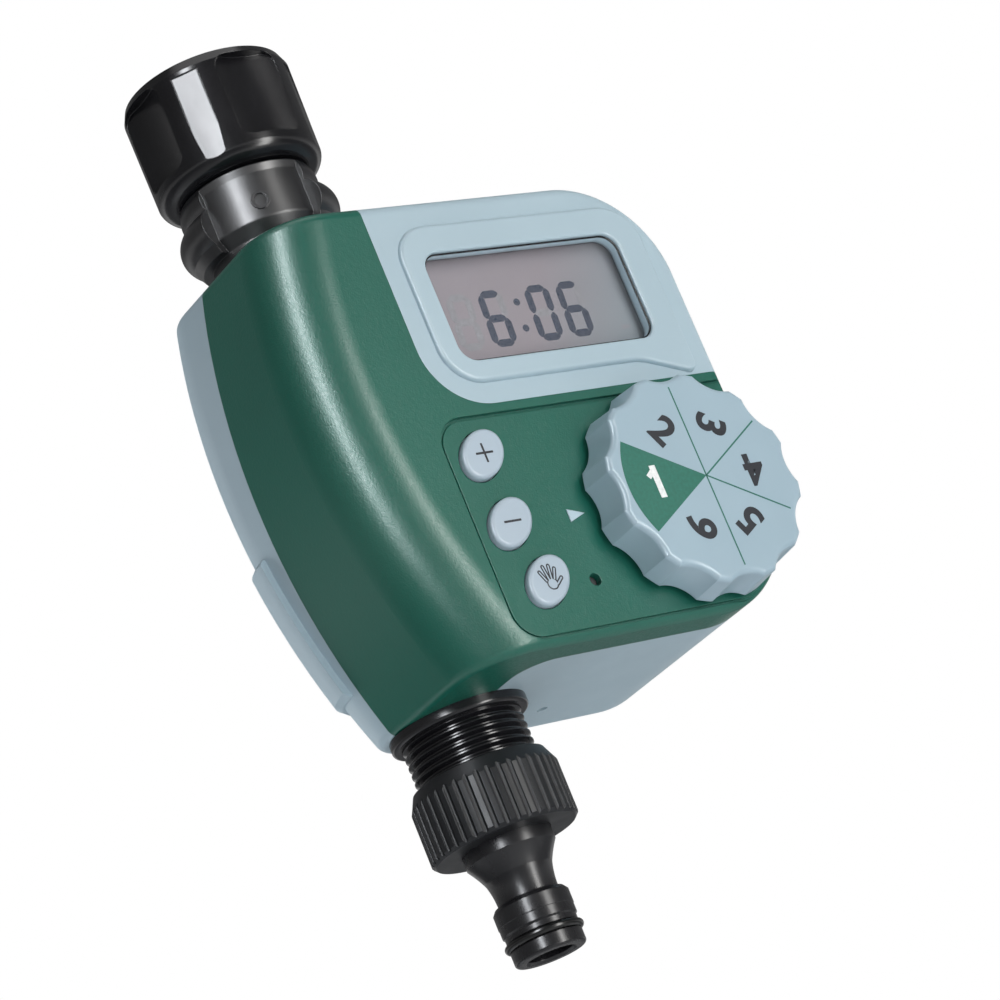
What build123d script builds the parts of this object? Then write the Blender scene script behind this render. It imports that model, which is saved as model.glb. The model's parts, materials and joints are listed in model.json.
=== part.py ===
"""Hose-tap drip irrigation timer: a battery powered water valve with clock, selector knob and buttons.

Millimetres.  The water pipe runs along Z through the origin; z = 0 is where the tap's end comes to
rest, just above its washer.  +Z points up into the tap, -Y is the front with the display, +X is to
the right seen from the front.
"""
import os
from math import cos, radians, sin

from build123d import *

os.makedirs("parts", exist_ok=True)

# ---- case -------------------------------------------------------------------------------------
case_front = -37.2
case_depth = 54.7
case_back = case_front + case_depth
case_top = -38.2
case_height = 102.6
case_bottom = case_top - case_height
case_right = 73.2
top_corner_radius = 23.5
bottom_corner_radius = 25.0
column_left_x = -29.5                # the left side is one long arc, seen from the front
column_centre_z = case_top - 38.4
column_foot_inset = 14.06            # how far the arc's lower end stands in from its middle
column_half = column_centre_z - case_bottom
column_curve_radius = (column_half**2 + column_foot_inset**2) / (2 * column_foot_inset)
column_centre_x = column_left_x + column_curve_radius
column_corner_radius = 14.0          # rounding of the left side towards front and back
case_edge_radius = 2.5
least_edge_radius = 0.3              # a smaller rounding than this is left sharp
case_wall = 2.4
seam_front_y = -28.0                 # parting line on the timer side
seam_split_x = 1.0                   # right of this the parting line runs forward
seam_curve_radius = 8.0
seam_top_y = -6.0                    # parting line on the column, at the top and at the bottom
seam_bottom_y = 2.0
bulge_height = 1.6                   # raised pad over the valve, on the back of the column
bulge_top_z = case_bottom + 43.8
bulge_bottom_z = case_bottom + 10.8
bulge_right_x = 10.0

# ---- display ----------------------------------------------------------------------------------
bezel_left_x = -2.0
bezel_bottom_z = case_top - 48.6
bezel_corner_radius = 14.0
frame_left_x = 2.7
frame_right_x = case_right - 6.1
frame_top_z = case_top - 6.6
frame_bottom_z = bezel_bottom_z + 4.8
frame_tail_z = bezel_bottom_z - 0.2
frame_tail_x = frame_right_x - 14.1
frame_edge_radius = 0.9
frame_height = 1.2
window_left_x = 7.8
window_right_x = frame_right_x - 7.2
window_top_z = frame_top_z - 6.7
window_bottom_z = frame_bottom_z + 4.9
window_corner_radius = 4.0
lens_margin = 1.8
lens_thickness = 1.4
lens_boss = 0.8
lens_gap = 0.15
glass_margin = 1.2
glass_thickness = 2.8
lcd_frame_margin = 2.4
zebra_height = 2.0

# ---- control panel ----------------------------------------------------------------------------
panel_left_x = -5.5
panel_top_z = bezel_bottom_z - 2.0
panel_bottom_z = case_bottom + 1.5
panel_corner_radius = 7.0
panel_depth = 0.5
groove_width = 0.7
groove_depth = 0.5
button_places = {
    "plus_button": (panel_left_x + 8.7, panel_top_z - 9.1),
    "minus_button": (panel_left_x + 8.7, panel_top_z - 24.8),
    "manual_button": (panel_left_x + 12.0, panel_bottom_z + 12.0),
}
button_long_radius = 6.4
button_short_radius = 4.6
button_tilt = 43.0
button_proud = 1.7
button_flange = 1.0
button_flange_thickness = 0.8
button_gap = 0.25
button_travel = 0.8
button_stem_radius = 1.6
marker_length = 4.1
marker_width = 2.9
marker_proud = 0.25
marker_inlay = 0.8
reset_x = panel_left_x + 24.25
reset_z = panel_bottom_z + 10.7
reset_hole_radius = 1.4
reset_pin_radius = 1.25
reset_depth = 1.6
reset_reach = 0.6                    # how far the reset pin stands in its switch

# ---- selector ---------------------------------------------------------------------------------
knob_radius = 24.9
knob_valley_depth = 1.6
knob_x = case_right - 24.6
knob_z = bezel_bottom_z - 2.45 - knob_radius
marker_x = knob_x - knob_radius - 5.1
marker_z = knob_z + 0.2
knob_lobes = 12
knob_lobe_angle = 15.0
knob_height = 8.9
knob_face_y = case_front - 10.0
knob_draft = 4.0
scallop_radius = 9.0
knob_edge_radius = 1.3
knob_wall = 2.2
shaft_radius = 3.0
shaft_collar_radius = 5.0
shaft_gap = 0.06
switch_size = 22.0
switch_room = 1.6

# ---- electronics ------------------------------------------------------------------------------
board_front_y = case_front + 8.6
board_thickness = 1.6
board_inset = 2.4
board_column_x = 4.5                 # left edge beside the solenoid
board_keys_x = -2.6                  # left edge behind the buttons
board_step_z = bezel_bottom_z - 3.2
key_switch_size = 6.0
key_switch_height = 3.5
key_stem_depth = 0.8
key_mat_margin = 1.0
key_mat_thickness = 0.8
screw_radius = 1.4
screw_head_radius = 2.4
screw_head_height = 1.8
screw_gap = 0.15
boss_radius = 2.5
thread_radius = 13.22                # G 3/4 outside thread, as wide as the valve's foot in the case
screw_places = [
    (18.0, case_top - 6.1), (case_right - 17.2, case_top - 6.1),
    (13.2, bezel_bottom_z - 3.4), (case_right - 6.0, bezel_bottom_z - 3.4),
    (thread_radius + 2.98, case_bottom + 6.2), (case_right - 17.2, case_bottom + 7.3),
]

# ---- battery compartment ----------------------------------------------------------------------
battery_radius = 5.25
battery_length = 44.5
battery_pitch = 2 * battery_radius + 1.5
battery_tip_radius = 1.9
battery_tip_length = 1.0
battery_centre_x = case_right - 30.5
battery_centre_z = case_bottom + 31.8
battery_gap = 0.3
contact_room = 2.6
contact_thickness = 0.5
tray_wall = 1.6
pad_depth = 2.5                      # thickening of the rear wall round the battery opening
pad_margin = 1.5
battery_y = case_back - case_wall - pad_depth - 1.75 - battery_radius
door_margin = 2.0
door_thickness = 1.8
door_gap = 0.25
gasket_thickness = 0.8
gasket_width = 1.4
notch_length = 14.0                  # finger notch at the door's lower edge
notch_height = 6.0
door_rib_length = 12.0
door_rib_width = 0.9
door_rib_pitch = 2.0
door_rib_depth = 0.6
drain_places = [(case_right - 47.95, 4.4), (case_right - 14.7, 6.0)]
drain_radius = 1.25

# ---- inlet ------------------------------------------------------------------------------------
tap_thread_radius = 13.3             # G 3/4 outside thread of the tap, with its clearance
tap_thread_length = 12.0
washer_gap = 0.2
nut_top_z = tap_thread_length + 1.0
nut_bottom_z = -13.0
nut_radius = tap_thread_radius + 5.94
nut_foot_radius = nut_radius - 3.54
nut_foot_height = 2.9
nut_lip_height = 6.7
nut_relief = 0.4                     # wider bore round the washer and the flange
nut_chamfer = 1.0
flute_count = 4
flute_width = 15.4
flute_floor = nut_radius - 3.0       # middle of the hollow floor, from the axis
flute_hollow = 1.25                  # how much deeper the middle is than the sides
flute_end_margin = 3.0
flute_corner_radius = 3.0
pad_width = 6.0
pad_floor = nut_radius - 0.49
pad_height = 24.0
tail_flange_radius = tap_thread_radius - 0.4
tail_flange_thickness = 3.0
tail_radius = tail_flange_radius - 2.4
tail_bore = tail_radius - 2.5
swivel_gap = 0.06
washer_thickness = 3.0
washer_bore = tail_bore - 0.5
filter_radius = tail_bore + 1.4
filter_thickness = 0.8
filter_hole_radius = 0.6
filter_pitch = 2.0
filter_rows = 7
collar_top_z = nut_bottom_z - 0.4
collar_radius = tail_radius + 5.1
collar_length = 15.6
collar_bottom_z = collar_top_z - collar_length
collar_neck_radius = tail_radius + 2.5
ear_angle = 153.0
ear_half_width = 43.0
ear_upper_height = 0.15              # how far the ears stand out of the collar, above and below
ear_lower_height = 2.6
mark_angle = 243.0
mark_radius = 2.1
mark_stroke = 0.6
mark_z = collar_top_z - 8.6

# ---- valve ------------------------------------------------------------------------------------
pipe_radius = tail_radius - 0.7
pipe_bore = 7.0
pipe_top_z = -17.4
neck_seal_thickness = 0.8
inlet_bore_end_z = case_top - 25.8
outlet_bore_end_z = case_top - 31.8
chamber_x = -7.0
chamber_z = case_top - 33.8
chamber_radius = 16.5
chamber_back_y = 9.0
chamber_face_y = -13.0
chamber_bore = 13.5
chamber_floor_y = -8.0
seat_radius = 7.5
seat_bore = 5.5
seat_bore_end_y = 2.0
port_radius = 2.6
diaphragm_thickness = 1.4
poppet_radius = 6.2
poppet_head = 0.4
poppet_stem_radius = 1.5
poppet_stem_length = 4.0
poppet_travel = 2.0
bonnet_thickness = 5.0
bonnet_room = poppet_travel + 1.0
bonnet_bore = 12.5
bonnet_screw_circle = 14.8
bonnet_screw_radius = 0.9
bonnet_screw_head_radius = 1.6
bonnet_screw_head = 1.2
pilot_radius = 0.8
coil_can_radius = 10.2
coil_can_wall = 1.0
coil_length = 14.0
core_tube_radius = 4.2
core_tube_wall = 0.8
core_tube_end = 1.2
coil_gap = 0.1
plunger_radius = 3.3
plunger_length = 9.0
poppet_spring_radius = 4.0
plunger_spring_radius = 2.4
poppet_wire = 0.35
plunger_wire = 0.25
spring_turns = 2.5
spring_gap = 0.1
lead_radius = 0.55
lead_spread = 1.6
solenoid_lead_bend = 1.5
battery_lead_bend = 3.0

# ---- outlet -----------------------------------------------------------------------------------
thread_root_radius = thread_radius - 1.12
thread_pitch = 1.814
thread_length = 20.7
thread_end_z = case_bottom - thread_length
ring_radius = thread_radius + 1.98
ring_height = 2.4
outlet_nut_top_z = case_bottom - 12.2
outlet_nut_height = 15.64
outlet_nut_bottom_z = outlet_nut_top_z - outlet_nut_height
outlet_nut_bore = thread_radius + 0.08
outlet_nut_radius = outlet_nut_bore + 2.9
outlet_nut_ridges = 42
outlet_nut_lip = 2.6
outlet_nut_rim = 1.8
groove_radius = 0.62
nipple_flange_radius = outlet_nut_bore - 0.5
nipple_flange_thickness = 2.5
nipple_bore = 5.03
nipple_shoulder_radius = 9.8
nipple_waist_radius = 6.6
nipple_collar_radius = 8.3
nipple_nose_radius = 7.82
shoulder_end_z = outlet_nut_bottom_z - 2.66
waist_z = shoulder_end_z - 9.7
nipple_collar_end_z = waist_z - 6.5
nipple_end_z = nipple_collar_end_z - 6.3
seal_z = nipple_end_z + 4.1
ring_seal_radius = 0.85
seal_groove_depth = 0.9
seal_groove_height = 2.0


def facing(y):
    """Sketch plane at this y that looks out of the front: local x is +X, local y is +Z."""
    return Plane.XZ.offset(-y)


def inset_corner(radius, inset):
    """Corner radius of an outline that is moved inwards."""
    return max(radius - inset, 0.5)


def right_side_outline(inset, left):
    """Front view of the case from x = left to its rounded right side."""
    with BuildSketch() as outline:
        with BuildLine():
            FilletPolyline(
                (left, case_top - inset),
                (case_right - inset, case_top - inset),
                (case_right - inset, case_bottom + inset),
                (left, case_bottom + inset),
                radius=[inset_corner(top_corner_radius, inset), inset_corner(bottom_corner_radius, inset)],
            )
            Line((left, case_bottom + inset), (left, case_top - inset))
        make_face()
    return outline.sketch


def case_form(inset):
    """Solid body of the case, every side moved inwards by inset."""
    radius = column_curve_radius - inset
    axis = Axis((column_centre_x, 0, column_centre_z), (0, 1, 0))
    with BuildPart() as form:
        with BuildSketch(Plane.XY.offset(column_centre_z)):
            with BuildLine():
                FilletPolyline(
                    (column_centre_x, case_front + inset),
                    (column_centre_x + radius, case_front + inset),
                    (column_centre_x + radius, case_back - inset),
                    (column_centre_x, case_back - inset),
                    radius=column_corner_radius - inset,
                )
                Line((column_centre_x, case_back - inset), (column_centre_x, case_front + inset))
            make_face()
        revolve(axis=axis)
        with BuildSketch(facing(case_back + 1)):
            add(right_side_outline(inset, column_centre_x - column_curve_radius - 20))
        extrude(amount=case_back - case_front + 2, mode=Mode.INTERSECT)
        if case_edge_radius - inset > least_edge_radius:
            fillet(form.edges(), case_edge_radius - inset)
    return form.part


def seam_y(z):
    """Parting line on the column at this height."""
    share = (case_top - z) / (case_top - case_bottom)
    return seam_top_y + share * (seam_bottom_y - seam_top_y)


def marker_outline():
    """Arrow beside the knob, as a flat triangle."""
    with BuildSketch() as outline:
        with BuildLine():
            Polyline(
                (marker_x, marker_z + marker_width / 2), (marker_x, marker_z - marker_width / 2),
                (marker_x + marker_length, marker_z), close=True,
            )
        make_face()
    return outline.sketch


def button_outline(grow=0.0):
    """Tilted oval of the buttons at each place; used inside a sketch."""
    Ellipse(button_long_radius + grow, button_short_radius + grow, rotation=button_tilt)


def coil_spring(radius, length, turns, wire, place):
    """Compression spring from a point on the valve's axis, towards the front."""
    pitch = (length - 2 * wire) / turns
    centre = (place[0], place[1] - wire, place[2])
    with BuildPart() as spring:
        with BuildLine() as path:
            Helix(pitch=pitch, height=pitch * turns, radius=radius, center=centre, direction=(0, -1, 0))
        with BuildSketch(Plane(origin=path.line @ 0, z_dir=path.line % 0)):
            Circle(wire)
        sweep()
    return spring.part


case_outer = case_form(0)
case_inner = case_form(case_wall)
wall_front_y = case_front + case_wall
wall_back_y = case_back - case_wall

# Everything in front of the parting line.
with BuildPart() as front_region:
    with BuildSketch(Plane.XY.offset(case_bottom - 5)):
        with BuildLine():
            FilletPolyline(
                (-70, -60), (110, -60), (110, seam_front_y), (seam_split_x, seam_front_y),
                (seam_split_x, 30), (-70, 30), close=True, radius=[1, 1, 1, seam_curve_radius, 1, 1],
            )
        make_face()
    extrude(amount=case_top - case_bottom + 10)
    with BuildSketch(Plane.YZ.offset(-80)):
        with BuildLine():
            Polyline(
                (seam_y(case_top + 6), case_top + 6), (60, case_top + 6), (60, case_bottom - 6),
                (seam_y(case_bottom - 6), case_bottom - 6), close=True,
            )
        make_face()
    extrude(amount=200, mode=Mode.SUBTRACT)

# The part of the front that the display bezel takes up.
with BuildPart() as bezel_region:
    with BuildSketch(facing(case_back)):
        with BuildLine():
            FilletPolyline(
                (bezel_left_x, 0), (bezel_left_x, bezel_bottom_z), (110, bezel_bottom_z),
                radius=bezel_corner_radius,
            )
            Polyline((110, bezel_bottom_z), (110, 0), (bezel_left_x, 0))
        make_face()
    extrude(amount=case_back - case_front + 20)

# Round holes in the case for the neck above and the pipe below.
with BuildPart() as pipe_holes:
    with Locations((0, 0, case_top)):
        Cylinder(collar_neck_radius + swivel_gap, 4 * case_wall)
    with Locations((0, 0, case_bottom)):
        Cylinder(thread_radius + swivel_gap, 4 * case_wall)

# ---- front cover ------------------------------------------------------------------------------
panel_y = case_front + panel_depth
boss_front_places = [place for place in screw_places if place[1] < bezel_bottom_z]
boss_bezel_places = [place for place in screw_places if place[1] > bezel_bottom_z]
shaft_hole_radius = shaft_collar_radius + shaft_gap

with BuildPart() as front_cover:
    add(case_outer)
    add(case_inner, mode=Mode.SUBTRACT)
    add(front_region.part, mode=Mode.INTERSECT)
    add(bezel_region.part, mode=Mode.SUBTRACT)
    add(pipe_holes.part, mode=Mode.SUBTRACT)
    # sunk panel, with a groove along its border
    for depth, border in ((panel_depth, 0.0), (panel_depth + groove_depth, groove_width)):
        with BuildSketch(facing(case_front + depth)):
            with BuildLine():
                FilletPolyline(
                    (110, panel_top_z), (panel_left_x, panel_top_z), (panel_left_x, panel_bottom_z),
                    (110, panel_bottom_z), radius=panel_corner_radius,
                )
                Line((110, panel_bottom_z), (110, panel_top_z))
            make_face()
            if border:
                with BuildLine():
                    FilletPolyline(
                        (111, panel_top_z - border), (panel_left_x + border, panel_top_z - border),
                        (panel_left_x + border, panel_bottom_z + border), (111, panel_bottom_z + border),
                        radius=panel_corner_radius - border,
                    )
                    Line((111, panel_bottom_z + border), (111, panel_top_z - border))
                make_face(mode=Mode.SUBTRACT)
        extrude(amount=depth + 1, mode=Mode.SUBTRACT)
    # screw bosses
    with BuildSketch(facing(board_front_y)):
        with Locations(*boss_front_places):
            Circle(boss_radius)
    extrude(amount=board_front_y - wall_front_y + 0.2)
    with BuildSketch(facing(board_front_y)):
        with Locations(*boss_front_places):
            Circle(screw_radius)
    extrude(amount=board_front_y - wall_front_y, mode=Mode.SUBTRACT)
    # button holes, reset hole, marker pocket and shaft hole
    with BuildSketch(facing(wall_front_y + 1)):
        for place in button_places.values():
            with Locations(place):
                button_outline(button_gap)
        with Locations((reset_x, reset_z)):
            Circle(reset_hole_radius)
        with Locations((knob_x, knob_z)):
            Circle(shaft_hole_radius)
    extrude(amount=case_wall + 2, mode=Mode.SUBTRACT)
    with BuildSketch(facing(panel_y + marker_inlay)):
        add(marker_outline())
    extrude(amount=marker_inlay + 1, mode=Mode.SUBTRACT)
front_cover.part.label = "front_cover"
export_step(front_cover.part, "parts/front_cover.step")

# ---- arrow marker, pressed into the panel beside the knob ----------------------------------------
with BuildPart() as arrow_marker:
    with BuildSketch(facing(panel_y + marker_inlay)):
        add(marker_outline())
    extrude(amount=marker_inlay + marker_proud)
arrow_marker.part.label = "arrow_marker"
export_step(arrow_marker.part, "parts/arrow_marker.step")

# ---- display bezel ----------------------------------------------------------------------------
with BuildPart() as display_bezel:
    add(case_outer)
    add(case_inner, mode=Mode.SUBTRACT)
    add(front_region.part, mode=Mode.INTERSECT)
    add(bezel_region.part, mode=Mode.INTERSECT)
    add(pipe_holes.part, mode=Mode.SUBTRACT)
    with BuildSketch(facing(case_front + 0.5)):
        with BuildLine():
            FilletPolyline(
                (frame_left_x, frame_bottom_z), (frame_left_x, frame_top_z), (frame_right_x, frame_top_z),
                (frame_right_x, frame_tail_z), (frame_tail_x, frame_bottom_z), close=True,
                radius=[9, 8.3, 9, 2, 15],
            )
        make_face()
    extrude(amount=frame_height + 0.5)
    fillet(display_bezel.faces().sort_by(Axis.Y)[0].outer_wire().edges(), frame_edge_radius)
    with BuildSketch(facing(wall_front_y + 1)):
        with Locations(((window_left_x + window_right_x) / 2, (window_top_z + window_bottom_z) / 2)):
            RectangleRounded(
                window_right_x - window_left_x, window_top_z - window_bottom_z, window_corner_radius
            )
    extrude(amount=case_wall + frame_height + 2, mode=Mode.SUBTRACT)
    fillet(display_bezel.faces().sort_by(Axis.Y)[0].inner_wires().edges(), 0.6)
    with BuildSketch(facing(board_front_y)):
        with Locations(*boss_bezel_places):
            Circle(boss_radius)
    extrude(amount=board_front_y - wall_front_y + 0.2)
    with BuildSketch(facing(board_front_y)):
        with Locations(*boss_bezel_places):
            Circle(screw_radius)
    extrude(amount=board_front_y - wall_front_y, mode=Mode.SUBTRACT)
display_bezel.part.label = "display_bezel"
export_step(display_bezel.part, "parts/display_bezel.step")

# ---- rear shell -------------------------------------------------------------------------------
tray_length = battery_length + 2 * contact_room
tray_height = battery_pitch + 2 * (battery_radius + battery_gap)
opening_length = tray_length - 1.0
opening_height = tray_height - 1.0
door_length = opening_length + 2 * door_margin
door_height = opening_height + 2 * door_margin
ledge_y = case_back - door_thickness - gasket_thickness
pad_y = wall_back_y - pad_depth
battery_place = (battery_centre_x, battery_centre_z)
board_back_y = board_front_y + board_thickness

with BuildPart() as valve_bulge:
    add(case_form(-bulge_height))
    with BuildSketch(facing(case_back + 5)):
        with BuildLine():
            Polyline(
                (-60, bulge_top_z), (bulge_right_x, bulge_top_z), (bulge_right_x, bulge_bottom_z),
                (-60, bulge_bottom_z), close=True,
            )
        make_face()
    extrude(amount=case_back + 5 - (seam_bottom_y + 1.5), mode=Mode.INTERSECT)
    bulge_border = [
        edge for edge in valve_bulge.edges()
        if abs(edge.center().Z - bulge_top_z) < 0.01 or abs(edge.center().Z - bulge_bottom_z) < 0.01
        or abs(edge.center().X - bulge_right_x) < 0.01
    ]
    bulge_border = [edge for edge in bulge_border if edge.center().Y > seam_bottom_y + 2]
    chamfer(bulge_border, 1.0)
    add(case_inner, mode=Mode.SUBTRACT)

with BuildPart() as rear_shell:
    add(case_outer)
    add(case_inner, mode=Mode.SUBTRACT)
    add(front_region.part, mode=Mode.SUBTRACT)
    add(valve_bulge.part)
    with BuildSketch(facing(wall_back_y + 0.2)):
        with Locations(battery_place):
            Rectangle(door_length + 2 * pad_margin, door_height + 2 * pad_margin)
    extrude(amount=pad_depth + 0.2)
    # bosses for the case screws
    with BuildSketch(facing(wall_back_y + 0.2)):
        with Locations(*screw_places):
            Circle(boss_radius)
    extrude(amount=wall_back_y + 0.2 - board_back_y)
    with BuildSketch(facing(case_back + 1)):
        with Locations(*screw_places):
            Circle(screw_radius + screw_gap)
    extrude(amount=case_back + 1 - board_back_y, mode=Mode.SUBTRACT)
    with BuildSketch(facing(case_back + 1)):
        with Locations(*screw_places):
            Circle(screw_head_radius + screw_gap)
    extrude(amount=screw_head_height + 1.2, mode=Mode.SUBTRACT)
    # battery opening, its ledge, and finger notch below the door
    with BuildSketch(facing(case_back + 1)):
        with Locations(battery_place):
            Rectangle(opening_length, opening_height)
    extrude(amount=case_wall + pad_depth + 2, mode=Mode.SUBTRACT)
    with BuildSketch(facing(case_back + 1)):
        with Locations(battery_place):
            RectangleRounded(door_length + 2 * door_gap, door_height + 2 * door_gap, 2.0 + door_gap)
        with Locations((battery_centre_x, battery_centre_z - door_height / 2)):
            SlotOverall(notch_length, notch_height)
    extrude(amount=case_back + 1 - ledge_y, mode=Mode.SUBTRACT)
    add(pipe_holes.part, mode=Mode.SUBTRACT)
    with Locations(*[(x, y, case_bottom) for x, y in drain_places]):
        Cylinder(drain_radius, 4 * case_wall, mode=Mode.SUBTRACT)
rear_shell.part.label = "rear_shell"
export_step(rear_shell.part, "parts/rear_shell.step")

# ---- battery door and its gasket ---------------------------------------------------------------
with BuildPart() as battery_door:
    with BuildSketch(facing(case_back)):
        with Locations(battery_place):
            RectangleRounded(door_length, door_height, 2.0)
    extrude(amount=door_thickness)
    fillet(battery_door.faces().sort_by(Axis.Y)[-1].edges(), 0.5)
    with BuildSketch(facing(case_back - door_thickness)):
        with Locations(battery_place):
            Rectangle(opening_length - 2 * gasket_width - 1, opening_height - 2 * gasket_width - 1)
            Rectangle(
                opening_length - 2 * gasket_width - 5, opening_height - 2 * gasket_width - 5,
                mode=Mode.SUBTRACT,
            )
    extrude(amount=gasket_thickness + 1)
    with BuildSketch(facing(case_back)):
        with Locations((battery_centre_x, battery_centre_z - door_height / 2 + 6)):
            with GridLocations(0, door_rib_pitch, 1, 3):
                SlotOverall(door_rib_length, door_rib_width)
    extrude(amount=door_rib_depth, mode=Mode.SUBTRACT)
battery_door.part.label = "battery_door"
export_step(battery_door.part, "parts/battery_door.step")

with BuildPart() as door_gasket:
    with BuildSketch(facing(case_back - door_thickness)):
        with Locations(battery_place):
            RectangleRounded(opening_length + 2 * gasket_width, opening_height + 2 * gasket_width, 1.5)
            Rectangle(opening_length - 1, opening_height - 1, mode=Mode.SUBTRACT)
    extrude(amount=gasket_thickness)
door_gasket.part.label = "door_gasket"
export_step(door_gasket.part, "parts/door_gasket.step")

# ---- battery tray, cells and contacts ----------------------------------------------------------
tray_back_y = battery_y - battery_radius - battery_gap
with BuildPart() as battery_tray:
    with BuildSketch(facing(pad_y)):
        with Locations(battery_place):
            Rectangle(tray_length + 2 * tray_wall, tray_height + 2 * tray_wall)
    extrude(amount=pad_y - tray_back_y + tray_wall)
    with BuildSketch(facing(pad_y)):
        with Locations(battery_place):
            Rectangle(tray_length, tray_height)
    extrude(amount=pad_y - tray_back_y, mode=Mode.SUBTRACT)
    with BuildSketch(facing(tray_back_y)):
        with Locations(battery_place):
            Rectangle(battery_length - 8, 0.8)
    extrude(amount=-(battery_radius + battery_gap) * 0.8)
battery_tray.part.label = "battery_tray"
export_step(battery_tray.part, "parts/battery_tray.step")

cells = {
    "battery_upper": (battery_centre_z + battery_pitch / 2, 1),
    "battery_lower": (battery_centre_z - battery_pitch / 2, -1),
}
for name, (z, side) in cells.items():
    tip_x = battery_centre_x + side * (battery_length - battery_tip_length) / 2
    with BuildPart() as battery:
        with Locations(Location((battery_centre_x, battery_y, z), (0, 90, 0))):
            Cylinder(battery_radius, battery_length - battery_tip_length)
        with Locations(Location((tip_x, battery_y, z), (0, 90, 0))):
            Cylinder(battery_tip_radius, battery_tip_length)
    battery.part.label = name
    export_step(battery.part, "parts/" + name + ".step")

contact_foot_radius = 3.6
contact_tip_radius = 1.6
with BuildPart() as battery_contacts:
    for side in (-1, 1):
        plate_x = battery_centre_x + side * (tray_length - contact_thickness) / 2
        with Locations((plate_x, battery_y, battery_centre_z)):
            Box(contact_thickness, 2 * battery_radius - 2, tray_height - 3)
    for z, tip_side in cells.values():
        side = -tip_side
        inner = battery_centre_x + side * (battery_length / 2 + 0.05)
        outer = battery_centre_x + side * (tray_length / 2 - contact_thickness)
        ends = (contact_foot_radius, contact_tip_radius)
        if side > 0:
            ends = (contact_tip_radius, contact_foot_radius)
        with Locations(Location(((inner + outer) / 2, battery_y, z), (0, 90, 0))):
            Cone(*ends, abs(outer - inner))
battery_contacts.part.label = "battery_contacts"
export_step(battery_contacts.part, "parts/battery_contacts.step")

# ---- display stack ----------------------------------------------------------------------------
window_centre = ((window_left_x + window_right_x) / 2, (window_top_z + window_bottom_z) / 2)
window_width = window_right_x - window_left_x
window_height = window_top_z - window_bottom_z
lens_back_y = wall_front_y + lens_thickness
glass_front_y = lens_back_y + 0.1
glass_back_y = glass_front_y + glass_thickness

with BuildPart() as display_lens:
    with BuildSketch(facing(lens_back_y)):
        with Locations(window_centre):
            RectangleRounded(window_width + 2 * lens_margin, window_height + 2 * lens_margin, 3.0)
    extrude(amount=lens_thickness)
    with BuildSketch(facing(wall_front_y)):
        with Locations(window_centre):
            RectangleRounded(
                window_width - 2 * lens_gap, window_height - 2 * lens_gap, window_corner_radius - lens_gap
            )
    extrude(amount=lens_boss)
    fillet(display_lens.faces().sort_by(Axis.Y)[0].edges(), 0.4)
display_lens.part.label = "display_lens"
export_step(display_lens.part, "parts/display_lens.step")

with BuildPart() as lcd_glass:
    with BuildSketch(facing(glass_back_y)):
        with Locations(window_centre):
            Rectangle(window_width + 2 * glass_margin, window_height + 2 * glass_margin)
    extrude(amount=glass_thickness)
lcd_glass.part.label = "lcd_glass"
export_step(lcd_glass.part, "parts/lcd_glass.step")

with BuildPart() as lcd_frame:
    with BuildSketch(facing(board_front_y)):
        with Locations(window_centre):
            Rectangle(window_width + 2 * lcd_frame_margin, window_height + 2 * lcd_frame_margin)
            Rectangle(
                window_width + 2 * (glass_margin + lens_gap), window_height + 2 * (glass_margin + lens_gap),
                mode=Mode.SUBTRACT,
            )
    extrude(amount=board_front_y - lens_back_y)
lcd_frame.part.label = "lcd_frame"
export_step(lcd_frame.part, "parts/lcd_frame.step")

with BuildPart() as zebra_strips:
    for side in (-1, 1):
        with BuildSketch(facing(board_front_y)):
            with Locations((window_centre[0], window_centre[1] + side * (window_height / 2 - 1))):
                Rectangle(window_width - 4, zebra_height)
        extrude(amount=board_front_y - glass_back_y)
zebra_strips.part.label = "zebra_strips"
export_step(zebra_strips.part, "parts/zebra_strips.step")

# ---- circuit board ----------------------------------------------------------------------------
with BuildPart() as circuit_board:
    with BuildSketch(facing(board_back_y)):
        add(right_side_outline(case_wall + board_inset, board_keys_x))
        with BuildLine():
            Polyline(
                (board_keys_x, board_step_z), (board_keys_x, 0), (board_column_x, 0),
                (board_column_x, board_step_z), close=True,
            )
        make_face(mode=Mode.SUBTRACT)
        with Locations(*screw_places):
            Circle(screw_radius + screw_gap, mode=Mode.SUBTRACT)
        with Locations((knob_x, knob_z)):
            Circle(shaft_radius + 0.5, mode=Mode.SUBTRACT)
    extrude(amount=board_thickness)
circuit_board.part.label = "circuit_board"
export_step(circuit_board.part, "parts/circuit_board.step")

board_items = [
    (1.6, Rectangle, (12, 12), [(window_centre[0] + 2, window_centre[1] + 0.3)]),
    (1.6, Rectangle, (3.2, 1.8), [(window_left_x + 12, window_top_z - drop) for drop in (6, 18)]),
    (3.4, Rectangle, (8, 3.2), [(window_right_x - 8, window_top_z - 6)]),
    (9.0, Circle, (4,), [(window_right_x - 8, window_top_z - 20)]),
]
with BuildPart() as board_parts:
    for height, shape, sizes, places in board_items:
        with BuildSketch(facing(board_back_y + height)):
            with Locations(*places):
                shape(*sizes)
        extrude(amount=height)
board_parts.part.label = "board_parts"
export_step(board_parts.part, "parts/board_parts.step")

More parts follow.
